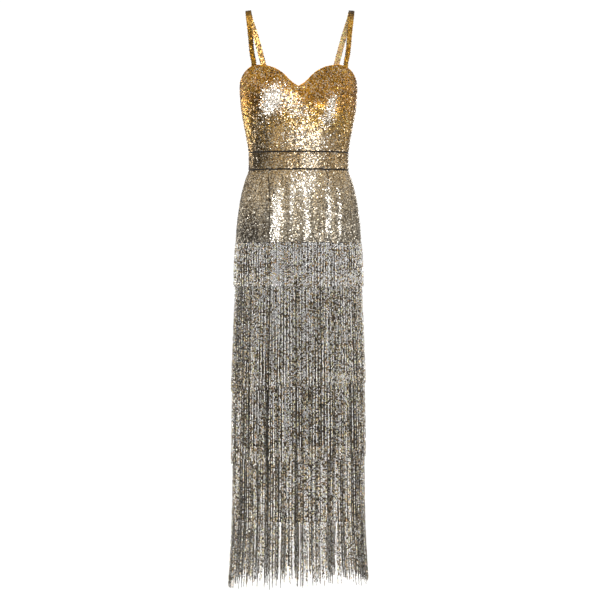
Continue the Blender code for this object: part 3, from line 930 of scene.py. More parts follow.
def settle(normals: Array, around: Array, height: Array) -> tuple[Array, Array, Array]:
    """Turns the sequins of each patch towards its own direction.

    Args:
        normals: the way the cloth faces at each sequin.
        around: their angles.
        height: their heights.

    Returns:
        Unit vectors, how far each sequin is painted near white as a painted highlight of the light that it is turned
        to, and how calm it lies. In a calm patch every sequin turns by the patch's strength times how far inside it
        lies. In a glare patch that product is the chance that a sequin turns all the way, so that the patch breaks up
        into speckles at its edge, and the sequins between the speckles get a little painted highlight by how far
        inside they lie.
    """
    white, calm = np.zeros(len(around)), np.zeros(len(around))
    for patch in CALM_PATCHES:
        share = patch.strength * patch.share(around, height)
        calm = np.maximum(calm, share)
        normals = mixed(normals, patch.towards(), share)
    for patch in GLARE_PATCHES:
        inside = patch.share(around, height)
        drawn = patch.strength * inside - chance.random(len(around))
        share = GLARE_TURN * smooth_step(drawn / CHANCE_BLUR + 0.5)
        white = np.maximum(white, np.maximum(GLARE_PAINT * share, STRAY_GLARE_PAINT * inside))
        normals = mixed(normals, patch.towards(), share)
    return unit(normals), white, calm


# ---- cut panels


# The seam lap is turned into degrees by the length that a degree has at this angle
LAP_ANGLE = 45.0
# How often a grid's heights and angles are found from each other, and how finely a cut is measured
GRID_ROUNDS, MEASURE_LINES = 6, 41
# A row's angles are found on this many knots, and its knots take up this share of a whole number
ROW_KNOTS, ROW_SHARE = 65, 0.999
# Hand sewing: how far the rows beside a channel waver, and how far from the channel that dies out
WAVER, WAVER_REACH = 0.45 * MM, 6 * MM
# The free edge: its sequins' pitch beside a row's, how far the second row turns over and sinks in mm, and how much
# brighter both rows are painted, a painted light, because they turn up to the light
EDGE_PITCH, EDGE_TURN, EDGE_SINK, EDGE_GAIN = 0.85, 1.2, 0.4, 1.6


@dataclass(frozen=True)
class Panel:
    """One cut piece of cloth between two seams and two edges, with its sequins."""

    node: str
    slot: str
    sides: tuple[Line, Line]
    ends: tuple[Line, Line]
    held: str
    rests_on: tuple[str, ...]
    out: float = 0.0
    finish: Finish = Finish.GROUND
    cell: float = 5.5 * MM
    wall: float = 0.9 * MM
    free_top: bool = False
    side_channel: float = 0.45 * MM
    foot_channel: float = 3.1 * MM
    top_channel: float = 3.1 * MM

    def around_at(self, across: Array, height: Array) -> Array:
        """Angles at a share of the way between the two seams, each a seam lap past its line."""
        lap = SEAM_LAP / FORM.directions(0 * height + LAP_ANGLE, height)[1]
        first, last = self.sides[0](height) - lap, self.sides[1](height) + lap
        return first + across * (last - first)

    def grid(self, across: Array, up: Array) -> tuple[Array, Array]:
        """Angles and heights on the panel.

        Args:
            across: shares of the way from the first seam to the second.
            up: shares of the way from the foot to the top.

        Returns:
            Angles and heights, found by settling each on the other a few times, because the seams depend on the
            height and the edges on the angle.
        """
        around = (self.sides[0](up * 0 + BAND_TOP) + self.sides[1](up * 0 + BAND_TOP)) / 2
        height = up
        for _ in range(GRID_ROUNDS):
            height = self.ends[0](around) + up * (self.ends[1](around) - self.ends[0](around))
            around = self.around_at(across, height)
        return around, height

    def measure(self) -> tuple[float, float, float]:
        """The cut's greatest width and length and its area, off a fine grid of the surface.

        Returns:
            Width, length and area.
        """
        across, up = np.meshgrid(np.linspace(0, 1, MEASURE_LINES), np.linspace(0, 1, MEASURE_LINES))
        points = FORM.point(*self.grid(across, up), self.out)
        width, length = steps(points, 1).sum(axis=1).max(), steps(points).sum(axis=0).max()
        return float(width), float(length), grid_area(points)

    def cloth(self) -> bpy.types.Object:
        """The panel's cloth: an open grid on the form with a thin wall turned inwards.

        Returns:
            The piece, which stands for the panel's solid.
        """
        width, length, _ = self.measure()
        columns, rows = max(4, round(width / self.cell)), max(4, round(length / self.cell))
        across, up = np.meshgrid(np.linspace(0, 1, columns + 1), np.linspace(0, 1, rows + 1))
        points = FORM.point(*self.grid(across, up), self.out).reshape(-1, 3)
        mesh = make_mesh(f"{self.node}_cloth", points, grid_faces(columns, rows))
        mesh.shade_smooth()
        piece = place_piece(mesh, self.finish, self.slot, self.node)
        wall = piece.modifiers.new("Wall", "SOLIDIFY")
        wall.thickness = self.wall
        wall.offset = -1.0
        return piece

    def sequin_places(self) -> tuple[Array, Array]:
        """Where the sequins go: level rows, each filled at an even pitch along the cloth.

        Returns:
            Angles and heights. Each row's angles come from its running length, and every second row starts half a
            pitch along. What lies past an edge or in a seam's channel is left out.
        """
        probe = np.linspace(self.sides[0](np.array(BAND_TOP)), self.sides[1](np.array(BAND_TOP)), 61)
        low = float(self.ends[0](probe).min()) + self.foot_channel
        high = float(self.ends[1](probe).max()) - (0.0 if self.free_top else self.top_channel)
        heights = np.linspace(low, high, round((high - low) / SEQUINS.between) + 1)
        grid_height = np.repeat(heights[:, None], ROW_KNOTS, axis=1)
        around = self.around_at(np.linspace(0, 1, ROW_KNOTS)[None, :] + 0 * grid_height, grid_height)
        lengths = np.cumsum(steps(FORM.point(around, grid_height, self.out), 1), axis=1)
        length = np.concatenate([np.zeros((len(heights), 1)), lengths], axis=1)
        usable = length[:, -1] - 2 * self.side_channel
        counts = np.maximum(np.floor(usable / SEQUINS.along).astype(int), 1)
        row = np.repeat(np.arange(len(heights)), counts)
        place = np.arange(len(row)) - np.repeat(np.cumsum(counts) - counts, counts)
        place = place + 0.25 + 0.5 * (row % 2)
        wanted = (self.side_channel + place / counts[row] * usable[row]) / length[row, -1]
        knots = (np.arange(len(heights))[:, None] + length / length[:, -1:] * ROW_SHARE).ravel()
        found = np.interp(row + wanted * ROW_SHARE, knots, around.ravel())
        if self.free_top:
            height, gap = heights[row], 1.2 * MM
        else:
            waver = WAVER * (np.sin(found * 0.31 + 1.0) + 0.6 * np.sin(found * 0.83))
            near = np.exp(-(high - heights[row]) / WAVER_REACH) + np.exp(-(heights[row] - low) / WAVER_REACH)
            height, gap = heights[row] + waver * near, 0.7 * self.top_channel
        keep = height < self.ends[1](found) - gap
        return found[keep], height[keep]

    def edge_places(self) -> Array:
        """Angles of the row of sequins that follows the free top edge, at an even pitch."""
        shares = np.linspace(0, 1, 200)
        around, height = self.grid(shares, np.ones_like(shares))
        length = running(FORM.point(around, height))
        count = int(length[-1] / (SEQUINS.along * EDGE_PITCH))
        return np.interp((np.arange(count) + 0.5) / count * length[-1], length, around)

    def sequins(self) -> bpy.types.Object:
        """The panel's sequins as one joined mesh, with a row turned over the free edge where there is one.

        Returns:
            The piece.
        """
        around, height = self.sequin_places()
        points, normals, sideways = FORM.dressing(around, height, self.out + SEQUINS.lift)
        normals, white, calm = settle(normals, around, height)
        # Painted shade and light on the sequins' colour
        gain = shade(around, height)
        if self.free_top:
            edge = self.edge_places()
            top = self.ends[1](edge)
            edge_points, edge_normals, edge_sideways = FORM.dressing(edge, top, SEQUINS.lift)
            upwards = unit(np.cross(edge_normals, edge_sideways))
            for turned in (0.0, EDGE_TURN):
                normals = np.concatenate([normals, unit(edge_normals + upwards * turned)])
                points = np.concatenate([points, edge_points - edge_normals * turned * EDGE_SINK * MM])
                sideways = np.concatenate([sideways, edge_sideways])
                height = np.concatenate([height, top])
                gain = np.concatenate([gain, np.full(len(edge), EDGE_GAIN)])
                white, calm = (np.concatenate([values, np.zeros(len(edge))]) for values in (white, calm))
        vertices, faces, colours = SEQUINS.discs(points, normals, sideways, height, gain, white, calm)
        return place_piece(make_mesh(f"{self.node}_sequins", vertices, faces, colours), Finish.SEQUINS, self.slot)

    def build(self) -> None:
        """Makes the cloth and its sequins, and says what the cut is."""
        piece = self.cloth()
        on_it = [self.sequins()] if self.finish is Finish.GROUND else []
        width, length, area = self.measure()
        log.info("%s cut %.3f x %.3f m, %.4f m2", self.node, width, length, area)


GOLD_SLOT, PALE_SLOT = "gold_sequin_cloth", "pale_gold_sequin_cloth"
BEAD_SLOT = "smoke_silver_beads"
BASE_SLOT = "taupe_base_cloth"


def seven_seams(part: str) -> dict[str, tuple[Line, Line]]:
    """The two side seams of each panel of a part that is cut in seven, by the panel's node."""
    return {
        f"{part}_centre_front": (FRONT_RIGHT, FRONT_LEFT),
        f"{part}_side_front_left": (FRONT_LEFT, SIDE_LEFT),
        f"{part}_side_front_right": (SIDE_RIGHT, FRONT_RIGHT),
        f"{part}_side_back_left": (SIDE_LEFT, BACK_LEFT),
        f"{part}_side_back_right": (BACK_RIGHT, SIDE_RIGHT),
        f"{part}_centre_back_left": (BACK_LEFT, CENTRE_LEFT),
        f"{part}_centre_back_right": (CENTRE_RIGHT, BACK_RIGHT),
    }


@dataclass
class Bodice:
    """Seven panels from the waistband to the free edge, cut to the cups."""

    foot: float = BAND_TOP + SEAM_GAP / 2
    rests_on: tuple[str, ...] = ("waistband_front", "strap_left", "strap_right")

    def build(self) -> None:
        """Makes every panel of the bodice."""
        ends = (LevelLine(self.foot), TOP_EDGE)
        for node, sides in seven_seams("bodice").items():
            Panel(node, GOLD_SLOT, sides, ends, "stretched", self.rests_on, free_top=True).build()


@dataclass
class Waistband:
    """A front and two backs, a little proud, with a dark channel along both edges."""

    top: float = BAND_TOP - SEAM_GAP / 2
    foot: float = BAND_BOTTOM + SEAM_GAP / 2

    def build(self) -> None:
        """Makes the band's three pieces."""
        ends = (LevelLine(self.foot), LevelLine(self.top))
        seams = {
            "waistband_front": (SIDE_RIGHT, SIDE_LEFT),
            "waistband_back_left": (SIDE_LEFT, CENTRE_LEFT),
            "waistband_back_right": (CENTRE_RIGHT, SIDE_RIGHT),
        }
        for node, sides in seams.items():
            Panel(node, PALE_SLOT, sides, ends, "stretched", ("bodice_centre_front",), BAND_PROUD).build()


@dataclass
class HipSkirt:
    """Seven panels from the waistband to the seam that starts the fringe.

    The channel beside the front seam on the wearer's right is the widest, because that seam lies in a fold.
    """

    top: float = BAND_BOTTOM - SEAM_GAP / 2
    foot: float = HIP_SEAM
    channel: float = 0.65 * MM
    folded_channel: float = 1.25 * MM
    foot_channel: float = 0.8 * MM

    def build(self) -> None:
        """Makes every panel of the hip skirt."""
        ends = (LevelLine(self.foot), LevelLine(self.top))
        for node, sides in seven_seams("skirt").items():
            Panel(
                node, PALE_SLOT, sides, ends, "hung", ("waistband_front",), foot_channel=self.foot_channel,
                side_channel=self.folded_channel if FRONT_RIGHT in sides else self.channel,
            ).build()  # fmt: skip


@dataclass
class BaseSkirt:
    """The plain skirt under the fringe, in a front and a back."""

    top: float = BASE_TOP
    foot: float = BASE_HEM

    def build(self) -> None:
        """Makes both halves of the base skirt."""
        ends = (LevelLine(self.foot), LevelLine(self.top))
        halves = {"base_skirt_front": (SIDE_RIGHT, SIDE_LEFT), "base_skirt_back": (SIDE_LEFT, LevelLine(270.0))}
        for node, sides in halves.items():
            Panel(
                node, BASE_SLOT, sides, ends, "hung", ("skirt_centre_front",), -BASE_INSET,
                finish=Finish.BASE, cell=9 * MM, wall=1.2 * MM,
            ).build()  # fmt: skip


# ---- straps


@dataclass(frozen=True)
class StrapPoint:
    """A place on the path over a shoulder, and the way the strap's face looks there, around the body and upwards."""

    x: float
    y: float
    z: float
    facing: float
    lift: float


STRAP_PATH = table(
    StrapPoint,
    (0.12, -0.047, -0.113, 38.0, 18.0),
    (0.1248, -0.037, -0.062, 42.0, 35.0),
    (0.1292, -0.02, -0.018, 52.0, 65.0),
    (0.1307, 0.003, 0.0008, 90.0, 84.0),
    (0.1272, 0.029, -0.015, 130.0, 66.0),
    (0.1145, 0.052, -0.052, 150.0, 38.0),
    (0.0968, 0.069, -0.115, 160.0, 15.0),
    (0.0812, 0.0792, -0.175, 164.0, 5.0),
)
# Where the inner faces turn behind the shoulder, so that they mirror the bright ceiling, and how far they turn
CEILING_WAY, INNER_TURN = np.array([0.0, -0.94, 0.34]), 0.5
# Where along a strap its back's painted light, its painted highlight and that turn set in,
# and over how much of its length
BACK_LIGHT, BACK_GLARE, BACK_TURN = (0.36, 0.20), (0.42, 0.10), (0.40, 0.06)
# The crest of the shoulder, as a share of the strap's length, and half its width
CREST, CREST_HALF = 0.375, 0.05
# The strip: the length of its rows, its corners round, and how square it is across and through
STRIP_ROW, STRIP_CORNERS, SQUARE_ACROSS, SQUARE_THROUGH = 5 * MM, 16, 0.35, 0.8


@dataclass
class Strap:
    """One shoulder strap, with sequins on both faces and its ends tucked inside the bodice.

    The gains are painted light and shade: how bright its sequins are painted in front, over the crest of the
    shoulder and behind it. back_white is how far those behind are painted near white, a painted highlight.
    """

    node: str
    sign: float
    front_around: float
    back_around: float
    spread: float
    front_gain: float = 1.25
    crest_gain: float = 0.16
    back_gain: float = 2.40
    back_white: float = 0.30
    width: float = 14.5 * MM
    wall: float = 1.2 * MM
    solid_wall: float = 1.8 * MM
    gap: float = 0.9 * MM
    tuck: float = 10 * MM

    def path(self) -> Array:
        """The path's rows of x, y, z, facing and lift, with four rows for each tucked end."""
        inside = -(SOLID_WALL + self.gap + self.solid_wall / 2)
        ends = []
        for around in (self.front_around, self.back_around):
            edge = float(TOP_EDGE(around))
            tucked = FORM.point(around, edge - self.tuck * np.array([1.0, 0.5, 0.0, -0.5]), inside)
            looks = FORM.directions(np.array(around), np.array(edge))[0]
            facing = np.degrees(np.arctan2(looks[0], -looks[1]))
            lift = np.degrees(np.arcsin(looks[2]))
            ends.append(np.column_stack([tucked, np.full(4, facing), np.full(4, lift)]))
        middle = np.array([(p.x + self.spread, p.y, p.z, p.facing, p.lift) for p in STRAP_PATH])
        return np.concatenate([ends[0], middle, ends[1][::-1]])

    def along(self, distance: Array) -> tuple[Array, Array, Array]:
        """Places on the strap's middle line.

        Args:
            distance: lengths along the strap.

        Returns:
            Points, the way the face looks, and the direction across the strap: the cross product of the path's
            direction and the face's.
        """
        path = self.path()
        length = running(path[:, :3])

        def at(where: Array) -> Array:
            """The five columns of the path at a length along the strap."""
            return np.stack([curve_through(length, column, where) for column in path.T], axis=-1)

        found = at(distance)
        step = 0.8 * MM
        ahead = at(np.minimum(distance + step, length[-1]))[..., :3] - at(np.maximum(distance - step, 0))[..., :3]
        across = unit(np.cross(ahead, looking(found[..., 3], found[..., 4])))
        looks = unit(np.cross(across, ahead))
        side = np.array([self.sign, 1.0, 1.0])
        return found[..., :3] * side, looks * side, across * side

    def length(self) -> float:
        """The strap's length along its path."""
        return float(steps(self.path()[:, :3]).sum())

    def light(self, share: Array) -> tuple[Array, Array, Array]:
        """How light and shade are painted on the strap's sequins, and how the inner ones turn.

        Args:
            share: where they are along the strap, from 0 in front to 1 behind.

        Returns:
            How bright each is painted, as painted light and shade, how far it is painted near white, a painted
            highlight, and how far it turns to mirror the ceiling if it lies on the inner face. Each is a smooth step
            from the front's value to the back's. Over the shoulder the strap looks up and mirrors a darker part of the
            room, so a bell of painted shade takes the brightness down to the crest's.
        """
        lit, glare_share, turned = (smooth_step((share - at) / span) for at, span in (BACK_LIGHT, BACK_GLARE, BACK_TURN))
        gain = self.front_gain + (self.back_gain - self.front_gain) * lit
        gain = gain + (self.crest_gain - gain) * np.exp(-(((share - CREST) / CREST_HALF) ** 2))
        return gain, self.back_white * glare_share, INNER_TURN * turned

    def strip(self, length: float) -> bpy.types.Object:
        """The cloth: a flat oval with half round edges, carried along the path and closed at both ends.

        Args:
            length: the strap's length.

        Returns:
            The piece, which stands for the strap's solid.
        """
        rows, count = round(length / STRIP_ROW), STRIP_CORNERS
        turn = np.linspace(0, 2 * math.pi, count, endpoint=False)
        wide = np.sign(np.cos(turn)) * np.abs(np.cos(turn)) ** SQUARE_ACROSS * self.width / 2
        thick = np.sign(np.sin(turn)) * np.abs(np.sin(turn)) ** SQUARE_THROUGH * self.wall / 2
        points, looks, across = self.along(np.linspace(0, length, rows + 1))
        rings = points[:, None] + across[:, None] * wide[None, :, None] + looks[:, None] * thick[None, :, None]
        faces = ring_faces(count, [(k, k + 1) for k in range(rows)])
        caps = [list(range(count))[::-1], [rows * count + k for k in range(count)]]
        mesh = bpy.data.meshes.new(f"{self.node}_cloth")
        mesh.from_pydata(rings.reshape(-1, 3).tolist(), [], faces.tolist() + caps)
        face_outwards(mesh)
        return place_piece(mesh, Finish.GROUND, GOLD_SLOT, self.node)

    def sequins(self, length: float) -> bpy.types.Object:
        """Rows of sequins across both faces, every second row half a pitch along.

        Args:
            length: the strap's length.

        Returns:
            The piece.
        """
        columns, lines = int(self.width / SEQUINS.along), int(length / SEQUINS.between)
        place = np.repeat((np.arange(lines) + 0.5) / lines * length, columns)
        offset = np.tile((np.arange(columns) + 0.5) / columns - 0.5, lines)
        offset = offset + np.repeat(np.arange(lines) % 2, columns) * 0.5 / columns - 0.25 / columns
        points, looks, across = self.along(place)
        centre = points + across * (offset * self.width)[:, None]
        reach = self.wall / 2 + SEQUINS.lift
        both = np.concatenate([centre + looks * reach, centre - looks * reach])
        outwards, sideways = np.concatenate([looks, -looks]), np.concatenate([across, across])
        gain, white, turned = self.light(np.tile(place / length, 2))
        outwards = unit(mixed(outwards, CEILING_WAY, turned * (outwards[:, 1] < 0)))
        vertices, faces, colours = SEQUINS.discs(both, outwards, sideways, both[:, 2], gain, white)
        return place_piece(make_mesh(f"{self.node}_sequins", vertices, faces, colours), Finish.SEQUINS, GOLD_SLOT)

    def build(self) -> None:
        """Makes the strip and its sequins, and says what the cut is."""
        length = self.length()
        piece = self.strip(length)
        on_it = [self.sequins(length)]
        log.info("%s cut %.4f x %.3f m", self.node, self.width, length)


def face_outwards(mesh: bpy.types.Mesh) -> None:
    """Turns a closed mesh's faces out, by Blender's own recalculation."""
    made = bmesh.new()
    made.from_mesh(mesh)
    bmesh.ops.recalc_face_normals(made, faces=made.faces)
    made.to_mesh(mesh)
    made.free()
    mesh.shade_smooth()


# ---- fringe


@dataclass(frozen=True)
class Streak:
    """Strands painted brighter or darker together: painted light where the gain is above 0, painted shade below.

    It holds where, how wide, and how much brighter or darker.
    """

    around: float
    half_width: float
    gain: float
    first_tier: int
    last_tier: int


STREAKS = table(
    Streak,
    (-65.0, 19.0, -1.3, 1, 2),
    (-67.0, 17.0, -0.75, 3, 4),
    (69.0, 18.0, -0.85, 1, 4),
    (-55.0, 10.0, -0.2, 1, 4),
    (-47.2, 0.9, -0.8, 1, 3),
    (-25.4, 1.6, -1.5, 1, 3),
    (-25.4, 1.0, -1.2, 4, 4),
    (-17.5, 2.8, 1.3, 1, 1),
    (-20.5, 0.7, 0.8, 3, 3),
    (-11.0, 1.2, 0.5, 3, 3),
    (-1.6, 1.0, -0.9, 1, 3),
    (0.9, 0.7, -0.8, 1, 3),
    (5.4, 1.4, 0.6, 1, 2),
    (16.5, 0.8, -0.8, 2, 3),
    (24.0, 1.2, 0.5, 1, 2),
    (33.6, 0.9, -0.8, 2, 3),
    (48.7, 1.0, -0.8, 1, 3),
    (-36.0, 1.0, -0.7, 2, 4),
    (52.0, 1.4, 0.5, 3, 3),
    (-38.0, 2.6, 0.35, 4, 4),
    (-29.5, 0.6, 1.3, 4, 4),
    (-23.0, 2.6, -0.45, 4, 4),
    (-17.9, 0.6, 1.2, 4, 4),
    (-15.8, 0.6, -1.2, 4, 4),
    (-13.9, 0.7, 1.8, 4, 4),
    (-6.0, 2.6, 0.55, 4, 4),
    (-1.6, 0.7, -0.8, 4, 4),
    (1.6, 2.0, -0.25, 4, 4),
    (5.3, 0.6, 1.2, 4, 4),
    (8.9, 0.6, 1.2, 4, 4),
    (18.7, 2.0, 0.25, 4, 4),
    (25.9, 2.2, -0.22, 4, 4),
    (32.1, 0.7, 1.6, 4, 4),
    (35.4, 0.6, 1.2, 4, 4),
    (39.0, 1.6, -0.35, 4, 4),
    (43.8, 0.8, 1.4, 4, 4),
    (49.5, 1.6, 0.35, 4, 4),
    (150.0, 1.2, 0.8, 1, 4),
    (-160.0, 1.4, 0.7, 2, 4),
    (170.0, 1.0, -0.9, 1, 4),
    (-120.0, 1.2, -0.7, 1, 3),
    (118.0, 1.4, 0.7, 3, 4),
    (-145.0, 1.0, 1.2, 4, 4),
    (-172.0, 2.2, -0.5, 4, 4),
    (135.0, 2.0, -0.5, 4, 4),
    (-92.0, 1.6, 0.6, 3, 4),
    (88.0, 2.0, -0.5, 2, 4),
)


@dataclass(frozen=True)
class Parting:
    """A gap between the strands below the base skirt, front and back alike, that the light comes through.

    It has a place across the gown, the height that it opens at and the one that it closes at, and how far the strands
    beside it stand off, in mm.
    """

    x: float
    top: float
    foot: float
    half_gap: float


PARTINGS = table(
    Parting,
    (-0.1105, -1.33, -1.45, 0.7),
    (-0.0585, -1.3, -1.365, 0.7),
    (-0.0468, -1.27, -1.425, 1.5),
    (-0.029, -1.38, -1.58, 1.2),
    (-0.013, -1.33, -1.58, 1.3),
    (0.0195, -1.29, -1.385, 0.8),
    (0.033, -1.42, -1.58, 1.0),
    (0.0962, -1.27, -1.58, 1.6),
    (0.1222, -1.3, -1.41, 0.9),
    (0.134, -1.41, -1.58, 1.1),
)
# How far from a parting the strands still move, the height over which it opens and closes, and how much further out
# the back's partings lie, so that they line up with the front's
PARTING_REACH, PARTING_FADE, PARTING_BACK = 9 * MM, 0.060, 1.035


@dataclass(frozen=True)
class ShortClump:
    """A clump in the lowest tier that ends higher: its place across and half width, and its rise in mm."""

    x: float
    half_width: float
    rise: float


SHORT_CLUMPS = table(
    ShortClump,
    (-0.098, 0.012, 12),
    (-0.056, 0.007, 9),
    (-0.026, 0.014, 14),
    (0.03, 0.009, 9),
    (0.092, 0.008, 12),
    (0.127, 0.011, 11),
)
# Every second strand hangs this much further out, and all of them start this far out of the base skirt, on the tape
LAYER = 0.9 * MM
# How many parts of a strand differ in brightness
SLOW_PARTS = 8
# How unevenly strands are sewn, as a share of their pitch, and hang, as a share of the tier's sway or raggedness
SEWN_UNEVENLY, HUNG_UNEVENLY = 0.12, 0.35
# How many beads below the tape's top the first one hangs, and where a strand tapers, as shares of its length
FIRST_BEAD, TAPER_FROM, TAPER_SPAN = (0.5, 1.4), 0.92, 0.08
# Half a bead as a share of the pitch, how unevenly it leans, and its least and greatest width beside its radius
HALF_BEAD, BEAD_LEAN, BEAD_WIDTHS = 0.45, 0.09, (0.85, 1.12)
# How far out of the base skirt the tape's two faces lie
TAPE_INNER, TAPE_OUTER = 0.3 * MM, 0.85 * MM


@dataclass(frozen=True)
class FringeTier:
    """One tier of bead strands: where it is sewn, where it is clear of the next tier, and where its ends hang."""

    node: str
    number: int
    root: float
    knee: float
    tip: float
    stand_off: float
    flare: float
    tilt: float
    sway: float
    raggedness: float
    # How brightly the tier's beads are painted, a painted light and shade, and how unevenly its strands differ at
    # random
    light: float
    contrast: float
    strands: int = 236
    bead: float = 2.8 * MM
    taper: float = 0.0
    # Painted shade on the strands below the base skirt and on every second strand, with painted light on the others
    foot_gain: float = 0.0
    inner_gain: float = -0.26
    short_clumps: bool = False
    foot_share: float = 0.50
    bead_radius: float = 1.50 * MM
    tape_height: float = 10.2 * MM

    def strand_angles(self) -> Array:
        """Angles of the strands at a nearly even pitch along the cloth, right round the skirt."""
        around = np.linspace(-180, 180, 721)
        length = running(FORM.point(around, self.root + 0 * around))
        uneven = chance.uniform(-SEWN_UNEVENLY, SEWN_UNEVENLY, self.strands)
        share = (np.arange(self.strands) + 0.5 + uneven) / self.strands
        return np.interp(share * length[-1], length, around)

    def tips(self, around: Array) -> Array:
        """Where the strands end.

        Args:
            around: the strands' angles.

        Returns:
            Heights: the tier's tip, tilted across the gown, and above it an uneven rise of a wave around the gown and
            a random number, times the raggedness. Over a short clump a bell of the clump's rise is added.
        """
        wave = 0.55 * np.sin(around * 1.7 + self.number) - 0.45
        drop = self.raggedness * (wave + chance.normal(0, HUNG_UNEVENLY, len(around)))
        level = self.tip + self.tilt * np.sin(np.radians(around))
        tip = np.clip(level - np.minimum(drop, 0.25 * self.raggedness), level - 4 * MM, 0)
        if self.short_clumps:
            x = FORM.smooth_point(around, tip)[..., 0]
            tip = tip + sum(c.rise * MM * np.exp(-(((x - c.x) / c.half_width) ** 2)) for c in SHORT_CLUMPS)
        return tip

    def beads(self) -> tuple[Array, Array, Array, Array, Array]:
        """Every bead of the tier.

        Returns:
            Centres, the strand's direction at each, its colour, its angle and its width beside a full one. A strand
            hangs straight, stands off as the tier does, and drifts sideways as the square of its share of the length,
            towards its neighbours in a bunch, so that bunches open towards the ends.
        """
        around = self.strand_angles()
        bunch = np.sin(around * 5.9 + 3.0 * np.sin(around * 0.9)) + 0.7 * np.sin(around * 2.3 + self.number)
        drift = self.sway * (bunch + chance.normal(0, HUNG_UNEVENLY, len(around)))
        tip = self.tips(around)
        per_strand = int((self.root - tip.min()) / self.bead)
        start = chance.uniform(*FIRST_BEAD, len(around))
        height = self.root - (np.arange(per_strand)[None, :] + start[:, None]) * self.bead
        share = np.clip((self.root - height) / (self.root - self.tip), 0, 1)
        per_degree = FORM.directions(around, self.root + 0 * around)[1]
        angle = around[:, None] + drift[:, None] / per_degree[:, None] * share**2
        base = -BASE_INSET + LAYER + self.bead_radius
        reach = np.interp(-height, [-self.root, -self.knee, -self.tip], [0.0, self.stand_off, self.flare])
        layer = (np.arange(len(around)) % 2 * LAYER)[:, None] * np.minimum(share * 4, 1)
        points = self.part(FORM.point(angle, height, base + reach + layer))
        keep = height > tip[:, None] + self.bead / 2
        direction = unit(np.gradient(points, axis=1))
        colours = BEAD_RUN.tones(height[keep])
        tint = 1 + chance.normal(0, 1, (len(colours), 3)) * BEAD_TINT
        colours[:, :3] = np.clip(colours[:, :3] * tint * self.strand_light(around, share)[keep][:, None], 0, 1)
        width = 1 - self.taper * smooth_step((share - TAPER_FROM) / TAPER_SPAN)
        return points[keep], direction[keep], colours, angle[keep], width[keep]

    def part(self, points: Array) -> Array:
        """Pushes the strands beside each parting away from its line.

        Args:
            points: the beads' middles, one row for each strand.

        Returns:
            The points moved across by the gap times e to the minus distance over the parting's reach, opened and
            closed smoothly in height.
        """
        x, z = points[..., 0].copy(), points[..., 2]
        line = np.where(points[..., 1] < 0, 1.0, PARTING_BACK)
        for parting in PARTINGS:
            past = points[..., 0] - parting.x * line
            opened = smooth_step((parting.top - z) / PARTING_FADE) * smooth_step((z - parting.foot) / PARTING_FADE)
            side = np.where(past < 0, -1.0, 1.0) * (parting.half_gap * MM)
            x += side * np.exp(-np.abs(past) / PARTING_REACH) * opened
        return np.stack([x, points[..., 1], z], axis=-1)

    def strand_light(self, around: Array, share: Array) -> Array:
        """How brightly each bead's strand is painted, with painted light and shade in it.

        Args:
            around: the strands' angles.
            share: how far down its strand each bead is, one row for each strand.

        Returns:
            The tier's painted light times e to the sum of the streaks' gains, which are painted light and shade, a
            random number for each strand, one that changes slowly down it, the painted shade and light of every second
            strand, and the foot's gain, a painted shade.
        """
        gain = np.zeros(len(around))
        for streak in STREAKS:
            if streak.first_tier <= self.number <= streak.last_tier:
                past = degrees_past(around, streak.around)
                gain += streak.gain * np.exp(-((past / streak.half_width) ** 2))
        gain += self.contrast * chance.normal(0, 0.8, len(around))
        # Every second strand lies under its neighbours, so it is painted darker and the others lighter: painted shade
        # and light
        gain += self.inner_gain * np.where(np.arange(len(around)) % 2, -1.0, 1.0)
        slow = chance.normal(0, 0.7 * self.contrast, (len(around), SLOW_PARTS + 2))
        low = np.minimum((share * SLOW_PARTS).astype(int), SLOW_PARTS)
        rows = np.arange(len(around))[:, None]
        blend = share * SLOW_PARTS - low
        slow = slow[rows, low] * (1 - blend) + slow[rows, low + 1] * blend
        # Below the base skirt light comes through, so the strands there are painted a little darker to balance it:
        # a painted shade
        foot = self.foot_gain * smooth_step((share - self.foot_share) / 0.12)
        return self.light * np.exp(gain[:, None] + slow + foot)

    def bead_mesh(self, name: str, centres: Array, axes: Array, colours: Array, width: Array) -> bpy.types.Mesh:
        """Three-sided bugle beads with closed ends, as one joined mesh.

        Args:
            name: the mesh's name.
            centres: the beads' middles.
            axes: the thread's direction through each.
            colours: one colour for each bead.
            width: how wide each bead is beside a full one.

        Returns:
            The mesh: each bead is two triangles square to the thread, half its length above and below its middle,
            joined by three flat sides. Each has its own random turn, lean and width.
        """
        count = len(centres)
        axes = unit(axes + chance.normal(0.0, BEAD_LEAN, (count, 3)))
        side = unit(np.cross(axes, np.array([0.0, 1.0, 0.0])))
        other = np.cross(axes, side)
        turn = chance.uniform(0, 2 * math.pi, (count, 1)) + np.arange(3) * (2 * math.pi / 3)
        ring = side[:, None] * np.cos(turn)[..., None] + other[:, None] * np.sin(turn)[..., None]
        ring = ring * self.bead_radius * width[:, None, None] * chance.uniform(*BEAD_WIDTHS, (count, 1, 1))
        half = (axes * self.bead * HALF_BEAD)[:, None]
        vertices = np.concatenate([centres[:, None] + half + ring, centres[:, None] - half + ring], axis=1)
        sides = [(k, k + 3, (k + 1) % 3 + 3) for k in range(3)] + [(k, (k + 1) % 3 + 3, (k + 1) % 3) for k in range(3)]
        one = np.array([(0, 1, 2), (5, 4, 3)] + sides)
        faces = (np.arange(count)[:, None, None] * 6 + one[None]).reshape(-1, 3)
        return make_mesh(name, vertices.reshape(-1, 3), faces, np.repeat(colours, 6, axis=0))

